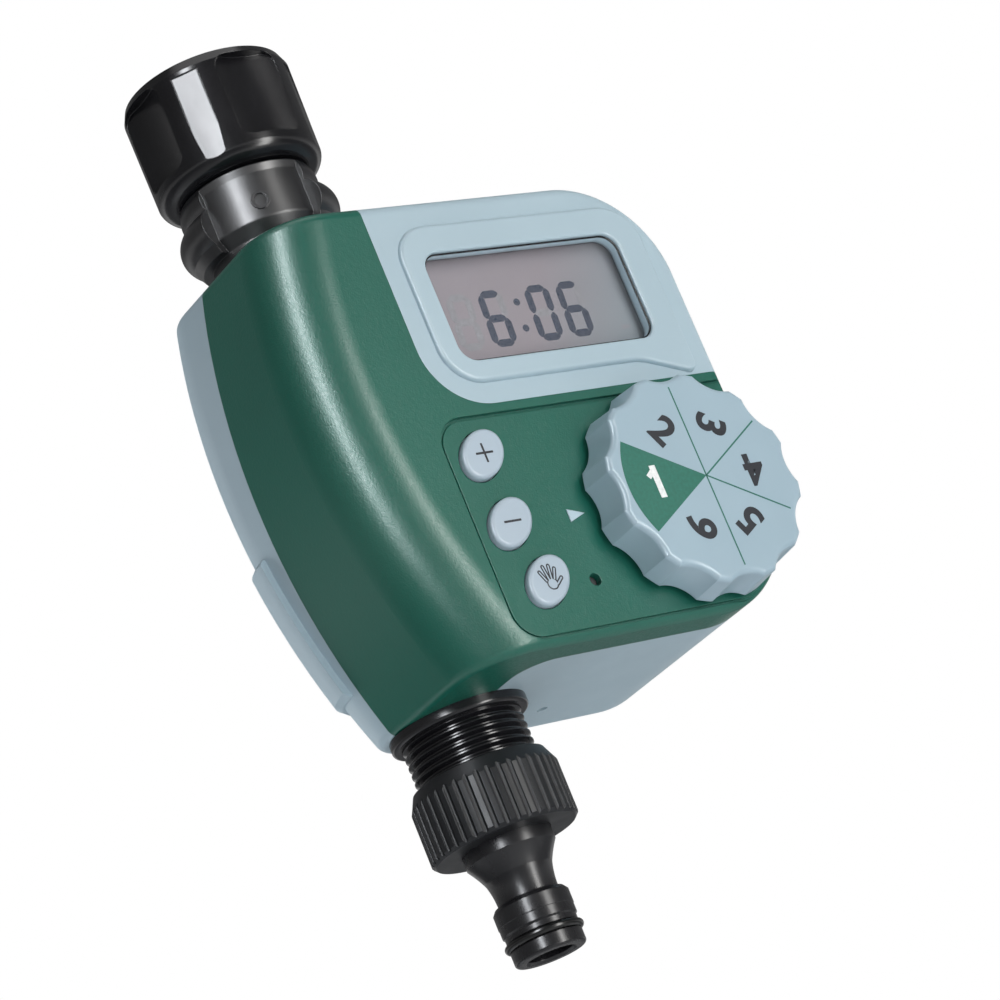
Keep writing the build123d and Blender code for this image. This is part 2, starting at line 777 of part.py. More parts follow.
# ---- screws through the case --------------------------------------------------------------------
with BuildPart() as case_screws:
    with BuildSketch(facing(case_back - 0.2)):
        with Locations(*screw_places):
            Circle(screw_head_radius)
    extrude(amount=screw_head_height)
    with BuildSketch(facing(case_back - 0.2)):
        with Locations(*screw_places):
            Circle(screw_radius)
    extrude(amount=case_back - 0.2 - wall_front_y - 1.0)
    with BuildSketch(facing(case_back - 0.2)):
        with Locations(*screw_places):
            Rectangle(2.6, 0.6)
            Rectangle(0.6, 2.6)
    extrude(amount=0.9, mode=Mode.SUBTRACT)
case_screws.part.label = "case_screws"
export_step(case_screws.part, "parts/case_screws.step")

# ---- buttons, their switches and mat -------------------------------------------------------------
flange_front_y = wall_front_y + 0.05
flange_back_y = flange_front_y + button_flange_thickness
switch_front_y = board_front_y - key_switch_height
stem_end_y = switch_front_y + key_stem_depth
for name, place in button_places.items():
    with BuildPart() as button:
        with BuildSketch(facing(flange_back_y)):
            with Locations(place):
                button_outline()
        extrude(amount=flange_back_y - (panel_y - button_proud))
        fillet(button.faces().sort_by(Axis.Y)[0].edges(), 0.9)
        with BuildSketch(facing(flange_back_y)):
            with Locations(place):
                button_outline(button_flange)
        extrude(amount=button_flange_thickness)
        with BuildSketch(facing(stem_end_y)):
            with Locations(place):
                Circle(button_stem_radius)
        extrude(amount=stem_end_y - flange_back_y)
    button.part.label = name
    export_step(button.part, "parts/" + name + ".step")

key_places = list(button_places.values())
with BuildPart() as key_switches:
    with BuildSketch(facing(board_front_y)):
        with Locations(*key_places, (reset_x, reset_z)):
            Rectangle(key_switch_size, key_switch_size)
    extrude(amount=key_switch_height)
    with BuildSketch(facing(switch_front_y)):
        with Locations(*key_places):
            Circle(button_stem_radius + 0.15)
        with Locations((reset_x, reset_z)):
            Circle(reset_pin_radius + 0.1)
    extrude(amount=-(key_stem_depth + button_travel + 0.6), mode=Mode.SUBTRACT)
key_switches.part.label = "key_switches"
export_step(key_switches.part, "parts/key_switches.step")

mat_left_x = key_places[0][0] - key_switch_size / 2 - key_mat_margin
mat_right_x = key_places[2][0] + key_switch_size / 2 + key_mat_margin
mat_top_z = key_places[0][1] + key_switch_size / 2 + key_mat_margin
mat_bottom_z = key_places[2][1] - key_switch_size / 2 - key_mat_margin
with BuildPart() as key_mat:
    with BuildSketch(facing(switch_front_y)):
        with Locations(((mat_left_x + mat_right_x) / 2, (mat_top_z + mat_bottom_z) / 2)):
            RectangleRounded(mat_right_x - mat_left_x, mat_top_z - mat_bottom_z, 2.0)
        with Locations(*key_places):
            Circle(button_stem_radius + 0.3, mode=Mode.SUBTRACT)
    extrude(amount=key_mat_thickness)
key_mat.part.label = "key_mat"
export_step(key_mat.part, "parts/key_mat.step")

with BuildPart() as reset_pin:
    with BuildSketch(facing(switch_front_y + reset_reach)):
        with Locations((reset_x, reset_z)):
            Circle(reset_pin_radius)
    extrude(amount=switch_front_y + reset_reach - (panel_y + reset_depth))
reset_pin.part.label = "reset_pin"
export_step(reset_pin.part, "parts/reset_pin.step")

# ---- selector knob, shaft, switch and seal -------------------------------------------------------
knob_base_y = knob_face_y + knob_height
knob_hollow_y = knob_face_y + knob_wall
first_scallop_angle = knob_lobe_angle + 180 / knob_lobes
knob_valley_radius = knob_radius - knob_valley_depth
scallop_distance = knob_valley_radius + scallop_radius
with BuildPart() as selector_knob:
    with BuildSketch(facing(knob_base_y)):
        with Locations((knob_x, knob_z)):
            Circle(knob_radius)
            with PolarLocations(scallop_distance, knob_lobes, start_angle=first_scallop_angle):
                Circle(scallop_radius, mode=Mode.SUBTRACT)
    extrude(amount=knob_height, taper=knob_draft)
    fillet(selector_knob.faces().sort_by(Axis.Y)[0].edges(), knob_edge_radius)
    with BuildSketch(facing(knob_base_y)):
        with Locations((knob_x, knob_z)):
            Circle(knob_valley_radius - 2 * knob_wall)
            Circle(shaft_collar_radius + knob_wall, mode=Mode.SUBTRACT)
    extrude(amount=knob_base_y - knob_hollow_y, mode=Mode.SUBTRACT)
    with BuildSketch(facing(knob_base_y)):
        with Locations((knob_x, knob_z)):
            Circle(shaft_collar_radius)
    extrude(amount=knob_base_y - knob_hollow_y, mode=Mode.SUBTRACT)
selector_knob.part.label = "selector_knob"
export_step(selector_knob.part, "parts/selector_knob.step")

switch_top_y = wall_front_y + switch_room
shaft_step_y = wall_front_y + 0.1
shaft_end_y = board_front_y + 0.8
with BuildPart() as selector_shaft:
    with BuildSketch(facing(shaft_step_y)):
        with Locations((knob_x, knob_z)):
            Circle(shaft_collar_radius)
    extrude(amount=shaft_step_y - knob_hollow_y)
    with BuildSketch(facing(shaft_end_y)):
        with Locations((knob_x, knob_z)):
            Circle(shaft_radius)
    extrude(amount=shaft_end_y - wall_front_y)
selector_shaft.part.label = "selector_shaft"
export_step(selector_shaft.part, "parts/selector_shaft.step")

with BuildPart() as selector_switch:
    with BuildSketch(facing(board_front_y)):
        with Locations((knob_x, knob_z)):
            RectangleRounded(switch_size, switch_size, 2.0)
    extrude(amount=board_front_y - switch_top_y)
    with BuildSketch(facing(board_front_y)):
        with Locations((knob_x, knob_z)):
            Circle(shaft_radius + shaft_gap)
    extrude(amount=board_front_y - switch_top_y, mode=Mode.SUBTRACT)
selector_switch.part.label = "selector_switch"
export_step(selector_switch.part, "parts/selector_switch.step")

seal_lip = 0.35
seal_radius = shaft_collar_radius + 2.0
with BuildPart() as shaft_seal:
    with BuildSketch(facing(switch_top_y)):
        with Locations((knob_x, knob_z)):
            Circle(seal_radius)
            Circle(shaft_radius + 0.3, mode=Mode.SUBTRACT)
    extrude(amount=switch_top_y - wall_front_y - seal_lip)
    with BuildSketch(facing(wall_front_y + seal_lip)):
        with Locations((knob_x, knob_z)):
            Circle(seal_radius)
            Circle(shaft_collar_radius + 0.4, mode=Mode.SUBTRACT)
    extrude(amount=seal_lip)
shaft_seal.part.label = "shaft_seal"
export_step(shaft_seal.part, "parts/shaft_seal.step")

# ---- inlet nut --------------------------------------------------------------------------------
def side_plane(angle, height=0.0):
    """Sketch plane through the pipe's axis that looks outwards at this angle; local y is +Z."""
    out = (cos(radians(angle)), sin(radians(angle)), 0)
    return Plane(origin=(0, 0, height), x_dir=(-out[1], out[0], 0), z_dir=out)


nut_shoulder_z = nut_bottom_z + nut_lip_height
nut_waist_radius = nut_radius - 0.35
nut_foot_z = nut_bottom_z + nut_foot_height
flute_bottom_z = nut_bottom_z + flute_end_margin + 1.5
flute_top_z = nut_top_z - flute_end_margin + 1.5
flute_height = flute_top_z - flute_bottom_z
flute_centre_z = (flute_top_z + flute_bottom_z) / 2
with BuildPart() as flute:
    with BuildSketch(Plane.XY.offset(flute_bottom_z)):
        with BuildLine():
            ThreePointArc(
                (flute_floor + flute_hollow, -flute_width / 2), (flute_floor, 0),
                (flute_floor + flute_hollow, flute_width / 2),
            )
            Polyline(
                (flute_floor + flute_hollow, flute_width / 2), (nut_radius + 2, flute_width / 2),
                (nut_radius + 2, -flute_width / 2), (flute_floor + flute_hollow, -flute_width / 2),
            )
        make_face()
    extrude(amount=flute_height)
    with BuildSketch(side_plane(0, flute_centre_z)):
        RectangleRounded(flute_width, flute_height, flute_corner_radius)
    extrude(amount=nut_radius + 5, mode=Mode.INTERSECT)

with BuildPart() as inlet_nut:
    with BuildSketch(Plane.XZ):
        with BuildLine():
            Polyline(
                (tap_thread_radius + nut_chamfer, nut_top_z), (nut_radius - 0.9, nut_top_z),
                (nut_radius, nut_top_z - 2.2), (nut_waist_radius, nut_foot_z),
            )
            ThreePointArc(
                (nut_waist_radius, nut_foot_z), (nut_radius - 1.3, nut_bottom_z + 1.0),
                (nut_foot_radius, nut_bottom_z),
            )
            Polyline(
                (nut_foot_radius, nut_bottom_z), (tail_radius + swivel_gap, nut_bottom_z),
                (tail_radius + swivel_gap, nut_shoulder_z),
                (tap_thread_radius + nut_relief, nut_shoulder_z),
                (tap_thread_radius + nut_relief, 0), (tap_thread_radius, 0),
                (tap_thread_radius, tap_thread_length), (tap_thread_radius + nut_chamfer, nut_top_z),
            )
        make_face()
    revolve(axis=Axis.Z)
    for number in range(flute_count):
        turn = number * 360 / flute_count
        add(flute.part.rotate(Axis.Z, turn), mode=Mode.SUBTRACT)
        with BuildSketch(side_plane(turn + 180 / flute_count).offset(pad_floor)):
            with Locations((0, nut_bottom_z + nut_foot_height + pad_height / 2 - 4.0)):
                Rectangle(pad_width, pad_height)
        extrude(amount=6, mode=Mode.SUBTRACT)
inlet_nut.part.label = "inlet_nut"
export_step(inlet_nut.part, "parts/inlet_nut.step")

# ---- tap washer and filter ----------------------------------------------------------------------
tail_top_z = -washer_gap - washer_thickness
with BuildPart() as inlet_washer:
    with BuildSketch(Plane.XY.offset(tail_top_z)):
        Circle(tail_flange_radius)
        Circle(washer_bore, mode=Mode.SUBTRACT)
    extrude(amount=washer_thickness)
    chamfer(inlet_washer.faces().sort_by(Axis.Z)[-1].edges(), 0.4)
inlet_washer.part.label = "inlet_washer"
export_step(inlet_washer.part, "parts/inlet_washer.step")

with BuildPart() as inlet_filter:
    with BuildSketch(Plane.XY.offset(tail_top_z - filter_thickness)):
        Circle(filter_radius)
        with HexLocations(filter_pitch / 2, filter_rows, filter_rows):
            Circle(filter_hole_radius, mode=Mode.SUBTRACT)
    extrude(amount=filter_thickness)
inlet_filter.part.label = "inlet_filter"
export_step(inlet_filter.part, "parts/inlet_filter.step")

# ---- swivel tailpiece, with the flange that the nut pulls up ---------------------------------------
tail_end_z = pipe_top_z + neck_seal_thickness
with BuildPart() as inlet_tailpiece:
    with BuildSketch(Plane.XY.offset(tail_end_z)):
        Circle(tail_radius)
    extrude(amount=tail_top_z - tail_end_z)
    with BuildSketch(Plane.XY.offset(tail_top_z - tail_flange_thickness)):
        Circle(tail_flange_radius)
    extrude(amount=tail_flange_thickness)
    with BuildSketch(Plane.XY.offset(tail_end_z)):
        Circle(tail_bore)
    extrude(amount=tail_top_z - tail_end_z, mode=Mode.SUBTRACT)
    with BuildSketch(Plane.XY.offset(tail_top_z - filter_thickness)):
        Circle(filter_radius)
    extrude(amount=filter_thickness, mode=Mode.SUBTRACT)
inlet_tailpiece.part.label = "inlet_tailpiece"
export_step(inlet_tailpiece.part, "parts/inlet_tailpiece.step")

with BuildPart() as neck_seal:
    with BuildSketch(Plane.XY.offset(pipe_top_z)):
        Circle(pipe_radius)
        Circle(tail_bore, mode=Mode.SUBTRACT)
    extrude(amount=neck_seal_thickness)
neck_seal.part.label = "neck_seal"
export_step(neck_seal.part, "parts/neck_seal.step")

# ---- inlet collar, with its two grip ears ---------------------------------------------------------
def radial_plane(angle):
    """Sketch plane through the pipe's axis; local x points outwards at this angle, local y is +Z."""
    x, y = cos(radians(angle)), sin(radians(angle))
    return Plane(origin=(0, 0, 0), x_dir=(x, y, 0), z_dir=(y, -x, 0))


collar_end_z = case_top - case_wall - 0.6
collar_side_radius = collar_radius - 0.9
ear_root_radius = collar_side_radius - 1.7
ear_step_z = collar_top_z - collar_length / 3
ear_crest_radius = collar_radius + ear_lower_height
with BuildPart() as inlet_collar:
    with BuildSketch(Plane.XZ):
        with BuildLine():
            FilletPolyline(
                (tail_radius, collar_top_z), (collar_radius - 0.4, collar_top_z),
                (collar_side_radius, collar_top_z - 2.0), (collar_side_radius, collar_bottom_z + 3.0),
                (collar_neck_radius, collar_bottom_z), (collar_neck_radius, collar_end_z),
                (tail_radius, collar_end_z), close=True, radius=[0.2, 0.4, 1.0, 1.2, 0.8, 0.2, 0.2],
            )
        make_face()
    revolve(axis=Axis.Z)
    for side in (0, 180):
        with BuildSketch(radial_plane(ear_angle + side - ear_half_width)):
            with BuildLine():
                Line((ear_root_radius, collar_top_z - 0.3), (collar_side_radius + 0.3, collar_top_z - 0.3))
                ThreePointArc(
                    (collar_side_radius + 0.3, collar_top_z - 0.3),
                    (collar_radius + ear_upper_height, collar_top_z - 2.8),
                    (collar_radius - 0.3, ear_step_z),
                )
                ThreePointArc(
                    (collar_radius - 0.3, ear_step_z), (ear_crest_radius, ear_step_z - 4.2),
                    (ear_crest_radius - 1.8, ear_step_z - 8.2),
                )
                Polyline(
                    (ear_crest_radius - 1.8, ear_step_z - 8.2), (collar_radius - 0.4, collar_bottom_z),
                    (ear_root_radius, collar_bottom_z), (ear_root_radius, collar_top_z - 0.3),
                )
            make_face()
        revolve(axis=Axis.Z, revolution_arc=2 * ear_half_width)
    with BuildSketch(Plane.XY.offset(collar_end_z)):
        Circle(tail_radius + swivel_gap)
    extrude(amount=collar_top_z - collar_end_z, mode=Mode.SUBTRACT)
    with BuildSketch(side_plane(mark_angle, mark_z).offset(collar_radius - 2.0)):
        Circle(mark_radius)
        Circle(mark_radius - mark_stroke, mode=Mode.SUBTRACT)
    extrude(amount=1.5)
inlet_collar.part.label = "inlet_collar"
export_step(inlet_collar.part, "parts/inlet_collar.step")

# ---- valve body: pipe, diaphragm chamber and outlet thread ----------------------------------------
thread_start_z = case_bottom - ring_height
body_shoulder_z = case_bottom + case_wall + 6
with BuildPart() as valve_body:
    with BuildSketch(Plane.XY.offset(body_shoulder_z)):
        Circle(pipe_radius)
    extrude(amount=pipe_top_z - body_shoulder_z)
    with BuildSketch(Plane.XY.offset(collar_end_z)):
        Circle(tail_radius)
    extrude(amount=-6)
    with BuildSketch(Plane.XZ):
        with BuildLine():
            steps = int((thread_start_z - thread_end_z - 1.5) / thread_pitch)
            outline = [(0, body_shoulder_z), (thread_root_radius, body_shoulder_z)]
            outline += [(thread_radius, body_shoulder_z - 1.1), (thread_radius, thread_start_z - 0.3)]
            for step in range(steps):
                crest = thread_start_z - 0.3 - (step + 1) * thread_pitch
                outline += [(thread_root_radius, crest + 0.65 * thread_pitch)]
                outline += [(thread_root_radius, crest + 0.5 * thread_pitch)]
                outline += [(thread_radius, crest + 0.18 * thread_pitch), (thread_radius, crest)]
            outline += [(thread_root_radius, thread_end_z + 1.0), (thread_root_radius - 0.6, thread_end_z)]
            outline += [(0, thread_end_z)]
            Polyline(*outline, close=True)
        make_face()
    revolve(axis=Axis.Z)
    with BuildSketch(facing(chamber_back_y)):
        with Locations((chamber_x, chamber_z)):
            Circle(chamber_radius)
    extrude(amount=chamber_back_y - chamber_face_y)
    with BuildSketch(facing(chamber_floor_y)):
        with Locations((chamber_x, chamber_z)):
            Circle(chamber_bore)
            Circle(seat_radius, mode=Mode.SUBTRACT)
    extrude(amount=chamber_floor_y - chamber_face_y, mode=Mode.SUBTRACT)
    with BuildSketch(facing(seat_bore_end_y)):
        with Locations((chamber_x, chamber_z)):
            Circle(seat_bore)
    extrude(amount=seat_bore_end_y - chamber_face_y, mode=Mode.SUBTRACT)
    with BuildSketch(facing(0)):
        with Locations((chamber_x + 3, (inlet_bore_end_z + chamber_z + chamber_bore) / 2 + 0.2)):
            Circle(port_radius)
    extrude(amount=-chamber_floor_y + 1, mode=Mode.SUBTRACT)
    with BuildSketch(Plane.XY.offset(inlet_bore_end_z)):
        Circle(pipe_bore)
    extrude(amount=pipe_top_z - inlet_bore_end_z, mode=Mode.SUBTRACT)
    with BuildSketch(Plane.XY.offset(thread_end_z)):
        Circle(pipe_bore)
    extrude(amount=outlet_bore_end_z - thread_end_z, mode=Mode.SUBTRACT)
valve_body.part.label = "valve_body"
export_step(valve_body.part, "parts/valve_body.step")

with BuildPart() as outlet_ring:
    with BuildSketch(Plane.XY.offset(case_bottom - ring_height)):
        Circle(ring_radius)
        Circle(thread_radius + swivel_gap, mode=Mode.SUBTRACT)
    extrude(amount=ring_height)
    fillet(outlet_ring.faces().sort_by(Axis.Z)[0].outer_wire().edges(), 0.8)
outlet_ring.part.label = "outlet_ring"
export_step(outlet_ring.part, "parts/outlet_ring.step")

# ---- diaphragm, poppet, bonnet and solenoid -------------------------------------------------------
diaphragm_front_y = chamber_face_y - diaphragm_thickness
bonnet_front_y = diaphragm_front_y - bonnet_thickness
chamber_place = (chamber_x, chamber_z)
screw_angles = [45 + 90 * number for number in range(4)]
bonnet_screws_at = [
    (chamber_x + bonnet_screw_circle * cos(radians(a)), chamber_z + bonnet_screw_circle * sin(radians(a)))
    for a in screw_angles
]

with BuildPart() as diaphragm:
    with BuildSketch(facing(chamber_face_y)):
        with Locations(chamber_place):
            Circle(chamber_radius)
            Circle(poppet_radius + 0.1, mode=Mode.SUBTRACT)
        with Locations(*bonnet_screws_at):
            Circle(bonnet_screw_radius + 0.1, mode=Mode.SUBTRACT)
    extrude(amount=diaphragm_thickness)
diaphragm.part.label = "diaphragm"
export_step(diaphragm.part, "parts/diaphragm.step")

with BuildPart() as valve_poppet:
    with BuildSketch(facing(chamber_face_y)):
        with Locations(chamber_place):
            Circle(poppet_radius)
    extrude(amount=diaphragm_thickness + poppet_head)
    with BuildSketch(facing(chamber_face_y)):
        with Locations(chamber_place):
            Circle(poppet_stem_radius)
    extrude(amount=-poppet_stem_length)
valve_poppet.part.label = "valve_poppet"
export_step(valve_poppet.part, "parts/valve_poppet.step")

with BuildPart() as valve_bonnet:
    with BuildSketch(facing(diaphragm_front_y)):
        with Locations(chamber_place):
            Circle(chamber_radius)
    extrude(amount=bonnet_thickness)
    with BuildSketch(facing(diaphragm_front_y)):
        with Locations(chamber_place):
            Circle(bonnet_bore)
    extrude(amount=bonnet_room, mode=Mode.SUBTRACT)
    with BuildSketch(facing(diaphragm_front_y)):
        with Locations(chamber_place):
            Circle(pilot_radius)
        with Locations(*bonnet_screws_at):
            Circle(bonnet_screw_radius + 0.1)
    extrude(amount=bonnet_thickness, mode=Mode.SUBTRACT)
valve_bonnet.part.label = "valve_bonnet"
export_step(valve_bonnet.part, "parts/valve_bonnet.step")

with BuildPart() as bonnet_screws:
    with BuildSketch(facing(chamber_face_y)):
        with Locations(*bonnet_screws_at):
            Circle(bonnet_screw_radius)
    extrude(amount=diaphragm_thickness + bonnet_thickness)
    with BuildSketch(facing(bonnet_front_y)):
        with Locations(*bonnet_screws_at):
            Circle(bonnet_screw_head_radius)
    extrude(amount=bonnet_screw_head)
bonnet_screws.part.label = "bonnet_screws"
export_step(bonnet_screws.part, "parts/bonnet_screws.step")

poppet_top_y = diaphragm_front_y - poppet_head
spring_room = poppet_top_y - (diaphragm_front_y - bonnet_room)
poppet_spring = coil_spring(
    poppet_spring_radius, spring_room - spring_gap, spring_turns, poppet_wire,
    (chamber_x, poppet_top_y - spring_gap / 2, chamber_z),
)
poppet_spring.label = "poppet_spring"
export_step(poppet_spring, "parts/poppet_spring.step")

with BuildPart() as core_tube:
    with BuildSketch(facing(bonnet_front_y)):
        with Locations(chamber_place):
            Circle(core_tube_radius)
    extrude(amount=coil_length - coil_can_wall)
    with BuildSketch(facing(bonnet_front_y)):
        with Locations(chamber_place):
            Circle(core_tube_radius - core_tube_wall)
    extrude(amount=coil_length - coil_can_wall - core_tube_end, mode=Mode.SUBTRACT)
core_tube.part.label = "core_tube"
export_step(core_tube.part, "parts/core_tube.step")

with BuildPart() as solenoid_coil:
    with BuildSketch(facing(bonnet_front_y - coil_gap)):
        with Locations(chamber_place):
            Circle(coil_can_radius - coil_can_wall - coil_gap)
            Circle(core_tube_radius + coil_gap, mode=Mode.SUBTRACT)
    extrude(amount=coil_length - coil_can_wall - 2 * coil_gap)
solenoid_coil.part.label = "solenoid_coil"
export_step(solenoid_coil.part, "parts/solenoid_coil.step")

with BuildPart() as solenoid_can:
    with BuildSketch(facing(bonnet_front_y)):
        with Locations(chamber_place):
            Circle(coil_can_radius)
    extrude(amount=coil_length)
    fillet(solenoid_can.faces().sort_by(Axis.Y)[0].edges(), 0.8)
    with BuildSketch(facing(bonnet_front_y)):
        with Locations(chamber_place):
            Circle(coil_can_radius - coil_can_wall)
    extrude(amount=coil_length - coil_can_wall, mode=Mode.SUBTRACT)
solenoid_can.part.label = "solenoid_can"
export_step(solenoid_can.part, "parts/solenoid_can.step")

plunger_front_y = bonnet_front_y - plunger_length
with BuildPart() as solenoid_plunger:
    with BuildSketch(facing(bonnet_front_y - 0.05)):
        with Locations(chamber_place):
            Circle(plunger_radius)
    extrude(amount=plunger_length - 0.05)
    chamfer(solenoid_plunger.faces().sort_by(Axis.Y)[-1].edges(), 0.6)
solenoid_plunger.part.label = "solenoid_plunger"
export_step(solenoid_plunger.part, "parts/solenoid_plunger.step")

core_end_y = bonnet_front_y - (coil_length - coil_can_wall - core_tube_end)
plunger_spring = coil_spring(
    plunger_spring_radius, plunger_front_y - core_end_y - spring_gap, spring_turns, plunger_wire,
    (chamber_x, plunger_front_y - spring_gap / 2, chamber_z),
)
plunger_spring.label = "plunger_spring"
export_step(plunger_spring, "parts/plunger_spring.step")

# ---- internal leads, clipped to the board ---------------------------------------------------------
lead_y = bonnet_front_y - 4.0
lead_top_z = chamber_z + coil_can_radius + 4.8
with BuildPart() as solenoid_leads:
    for side in (-1, 1):
        turn_z = lead_top_z - side * lead_spread
        with BuildLine():
            lead = FilletPolyline(
                (chamber_x + side * lead_spread, lead_y, chamber_z + coil_can_radius),
                (chamber_x + side * lead_spread, lead_y, turn_z),
                (board_column_x + 4, lead_y, turn_z),
                (board_column_x + 4, board_back_y, turn_z), radius=solenoid_lead_bend,
            )
        with BuildSketch(Plane(origin=lead @ 0, z_dir=lead % 0)):
            Circle(lead_radius)
        sweep(path=lead)
solenoid_leads.part.label = "solenoid_leads"
export_step(solenoid_leads.part, "parts/solenoid_leads.step")

tray_floor_y = tray_back_y - tray_wall
with BuildPart() as battery_leads:
    for side in (-1, 1):
        foot = battery_centre_x - 18 + side * lead_spread
        foot_z = battery_centre_z + 4
        with BuildLine():
            lead = FilletPolyline(
                (foot, tray_floor_y, foot_z), (foot, tray_floor_y - 7, foot_z),
                (foot, tray_floor_y - 11, foot_z + 10), (foot, board_back_y, foot_z + 10),
                radius=battery_lead_bend,
            )
        with BuildSketch(Plane(origin=lead @ 0, z_dir=lead % 0)):
            Circle(lead_radius)
        sweep(path=lead)
battery_leads.part.label = "battery_leads"
export_step(battery_leads.part, "parts/battery_leads.step")

# ---- outlet nut -------------------------------------------------------------------------------
ridge_crest_radius = outlet_nut_radius + 0.15
with BuildPart() as outlet_nut:
    with BuildSketch(Plane.XZ):
        with BuildLine():
            Polyline(
                (outlet_nut_bore, outlet_nut_top_z), (outlet_nut_radius - 1.58, outlet_nut_top_z),
                (outlet_nut_radius - 0.4, outlet_nut_top_z - outlet_nut_lip),
                (outlet_nut_radius, outlet_nut_top_z - outlet_nut_lip - 0.8),
                (outlet_nut_radius, outlet_nut_bottom_z + 0.8),
                (outlet_nut_radius - 0.8, outlet_nut_bottom_z),
                (nipple_shoulder_radius + swivel_gap, outlet_nut_bottom_z),
                (nipple_shoulder_radius + swivel_gap, outlet_nut_bottom_z + outlet_nut_lip),
                (outlet_nut_bore, outlet_nut_bottom_z + outlet_nut_lip), close=True,
            )
        make_face()
    revolve(axis=Axis.Z)
    with BuildSketch(Plane.XY.offset(outlet_nut_top_z - outlet_nut_rim)):
        with PolarLocations(ridge_crest_radius, outlet_nut_ridges):
            Circle(groove_radius)
    extrude(amount=1.0 - outlet_nut_height, mode=Mode.SUBTRACT)
outlet_nut.part.label = "outlet_nut"
export_step(outlet_nut.part, "parts/outlet_nut.step")

nipple_seat_z = outlet_nut_bottom_z + outlet_nut_lip + 0.1
nipple_top_z = nipple_seat_z + nipple_flange_thickness
with BuildPart() as outlet_washer:
    with BuildSketch(Plane.XY.offset(nipple_top_z)):
        Circle(nipple_flange_radius)
        Circle(nipple_bore + 1, mode=Mode.SUBTRACT)
    extrude(amount=thread_end_z - nipple_top_z)
outlet_washer.part.label = "outlet_washer"
export_step(outlet_washer.part, "parts/outlet_washer.step")

# ---- hose connector nipple ------------------------------------------------------------------------
throat_z = shoulder_end_z - 4.3
throat_radius = nipple_waist_radius + 0.75
collar_face_z = nipple_collar_end_z + 0.3
collar_land_radius = nipple_collar_radius - 0.12
seal_groove_radius = nipple_nose_radius - seal_groove_depth
seal_top_z = seal_z + seal_groove_height / 2
seal_bottom_z = seal_z - seal_groove_height / 2
with BuildPart() as outlet_nipple:
    with BuildSketch(Plane.XZ):
        with BuildLine():
            Polyline(
                (nipple_bore, nipple_top_z), (nipple_flange_radius, nipple_top_z),
                (nipple_flange_radius, nipple_seat_z), (nipple_shoulder_radius, nipple_seat_z),
                (nipple_shoulder_radius, shoulder_end_z),
            )
            ThreePointArc(
                (nipple_shoulder_radius, shoulder_end_z), (throat_radius + 1.0, throat_z + 2.0),
                (throat_radius, throat_z),
            )
            ThreePointArc(
                (throat_radius, throat_z), (nipple_waist_radius + 0.18, throat_z - 2.6),
                (nipple_waist_radius, waist_z),
            )
            Polyline(
                (nipple_waist_radius, waist_z), (nipple_collar_radius - 0.7, waist_z - 0.3),
                (nipple_collar_radius, waist_z - 1.2), (nipple_collar_radius, collar_face_z + 2.0),
                (collar_land_radius, collar_face_z + 1.9), (collar_land_radius, collar_face_z),
                (collar_land_radius - 0.28, nipple_collar_end_z),
                (nipple_nose_radius, nipple_collar_end_z - 0.1), (nipple_nose_radius, seal_top_z),
                (seal_groove_radius, seal_top_z), (seal_groove_radius, seal_bottom_z),
                (nipple_nose_radius, seal_bottom_z), (nipple_nose_radius, nipple_end_z + 0.7),
            )
            ThreePointArc(
                (nipple_nose_radius, nipple_end_z + 0.7), (nipple_nose_radius - 0.25, nipple_end_z + 0.2),
                (nipple_nose_radius - 0.8, nipple_end_z),
            )
            Polyline(
                (nipple_nose_radius - 0.8, nipple_end_z), (nipple_bore + 0.6, nipple_end_z),
                (nipple_bore, nipple_end_z + 0.6), (nipple_bore, nipple_top_z),
            )
        make_face()
    revolve(axis=Axis.Z)
outlet_nipple.part.label = "outlet_nipple"
export_step(outlet_nipple.part, "parts/outlet_nipple.step")

with BuildPart() as nipple_o_ring:
    with BuildSketch(Plane.XZ):
        with Locations((seal_groove_radius + 0.02 + ring_seal_radius, seal_z)):
            Circle(ring_seal_radius)
    revolve(axis=Axis.Z)
nipple_o_ring.part.label = "nipple_o_ring"
export_step(nipple_o_ring.part, "parts/nipple_o_ring.step")
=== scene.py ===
"""Hose-tap watering timer: finishes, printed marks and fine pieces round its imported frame.

Metres, in the frame's own axes: Z runs up the water pipe into the tap, -Y is the front with the
display, +X is to the right seen from the front.
"""
import json
from math import cos, pi, radians, sin

import bmesh
import bpy
from bpy.props import FloatProperty, FloatVectorProperty, PointerProperty
from mathutils import Matrix, Vector


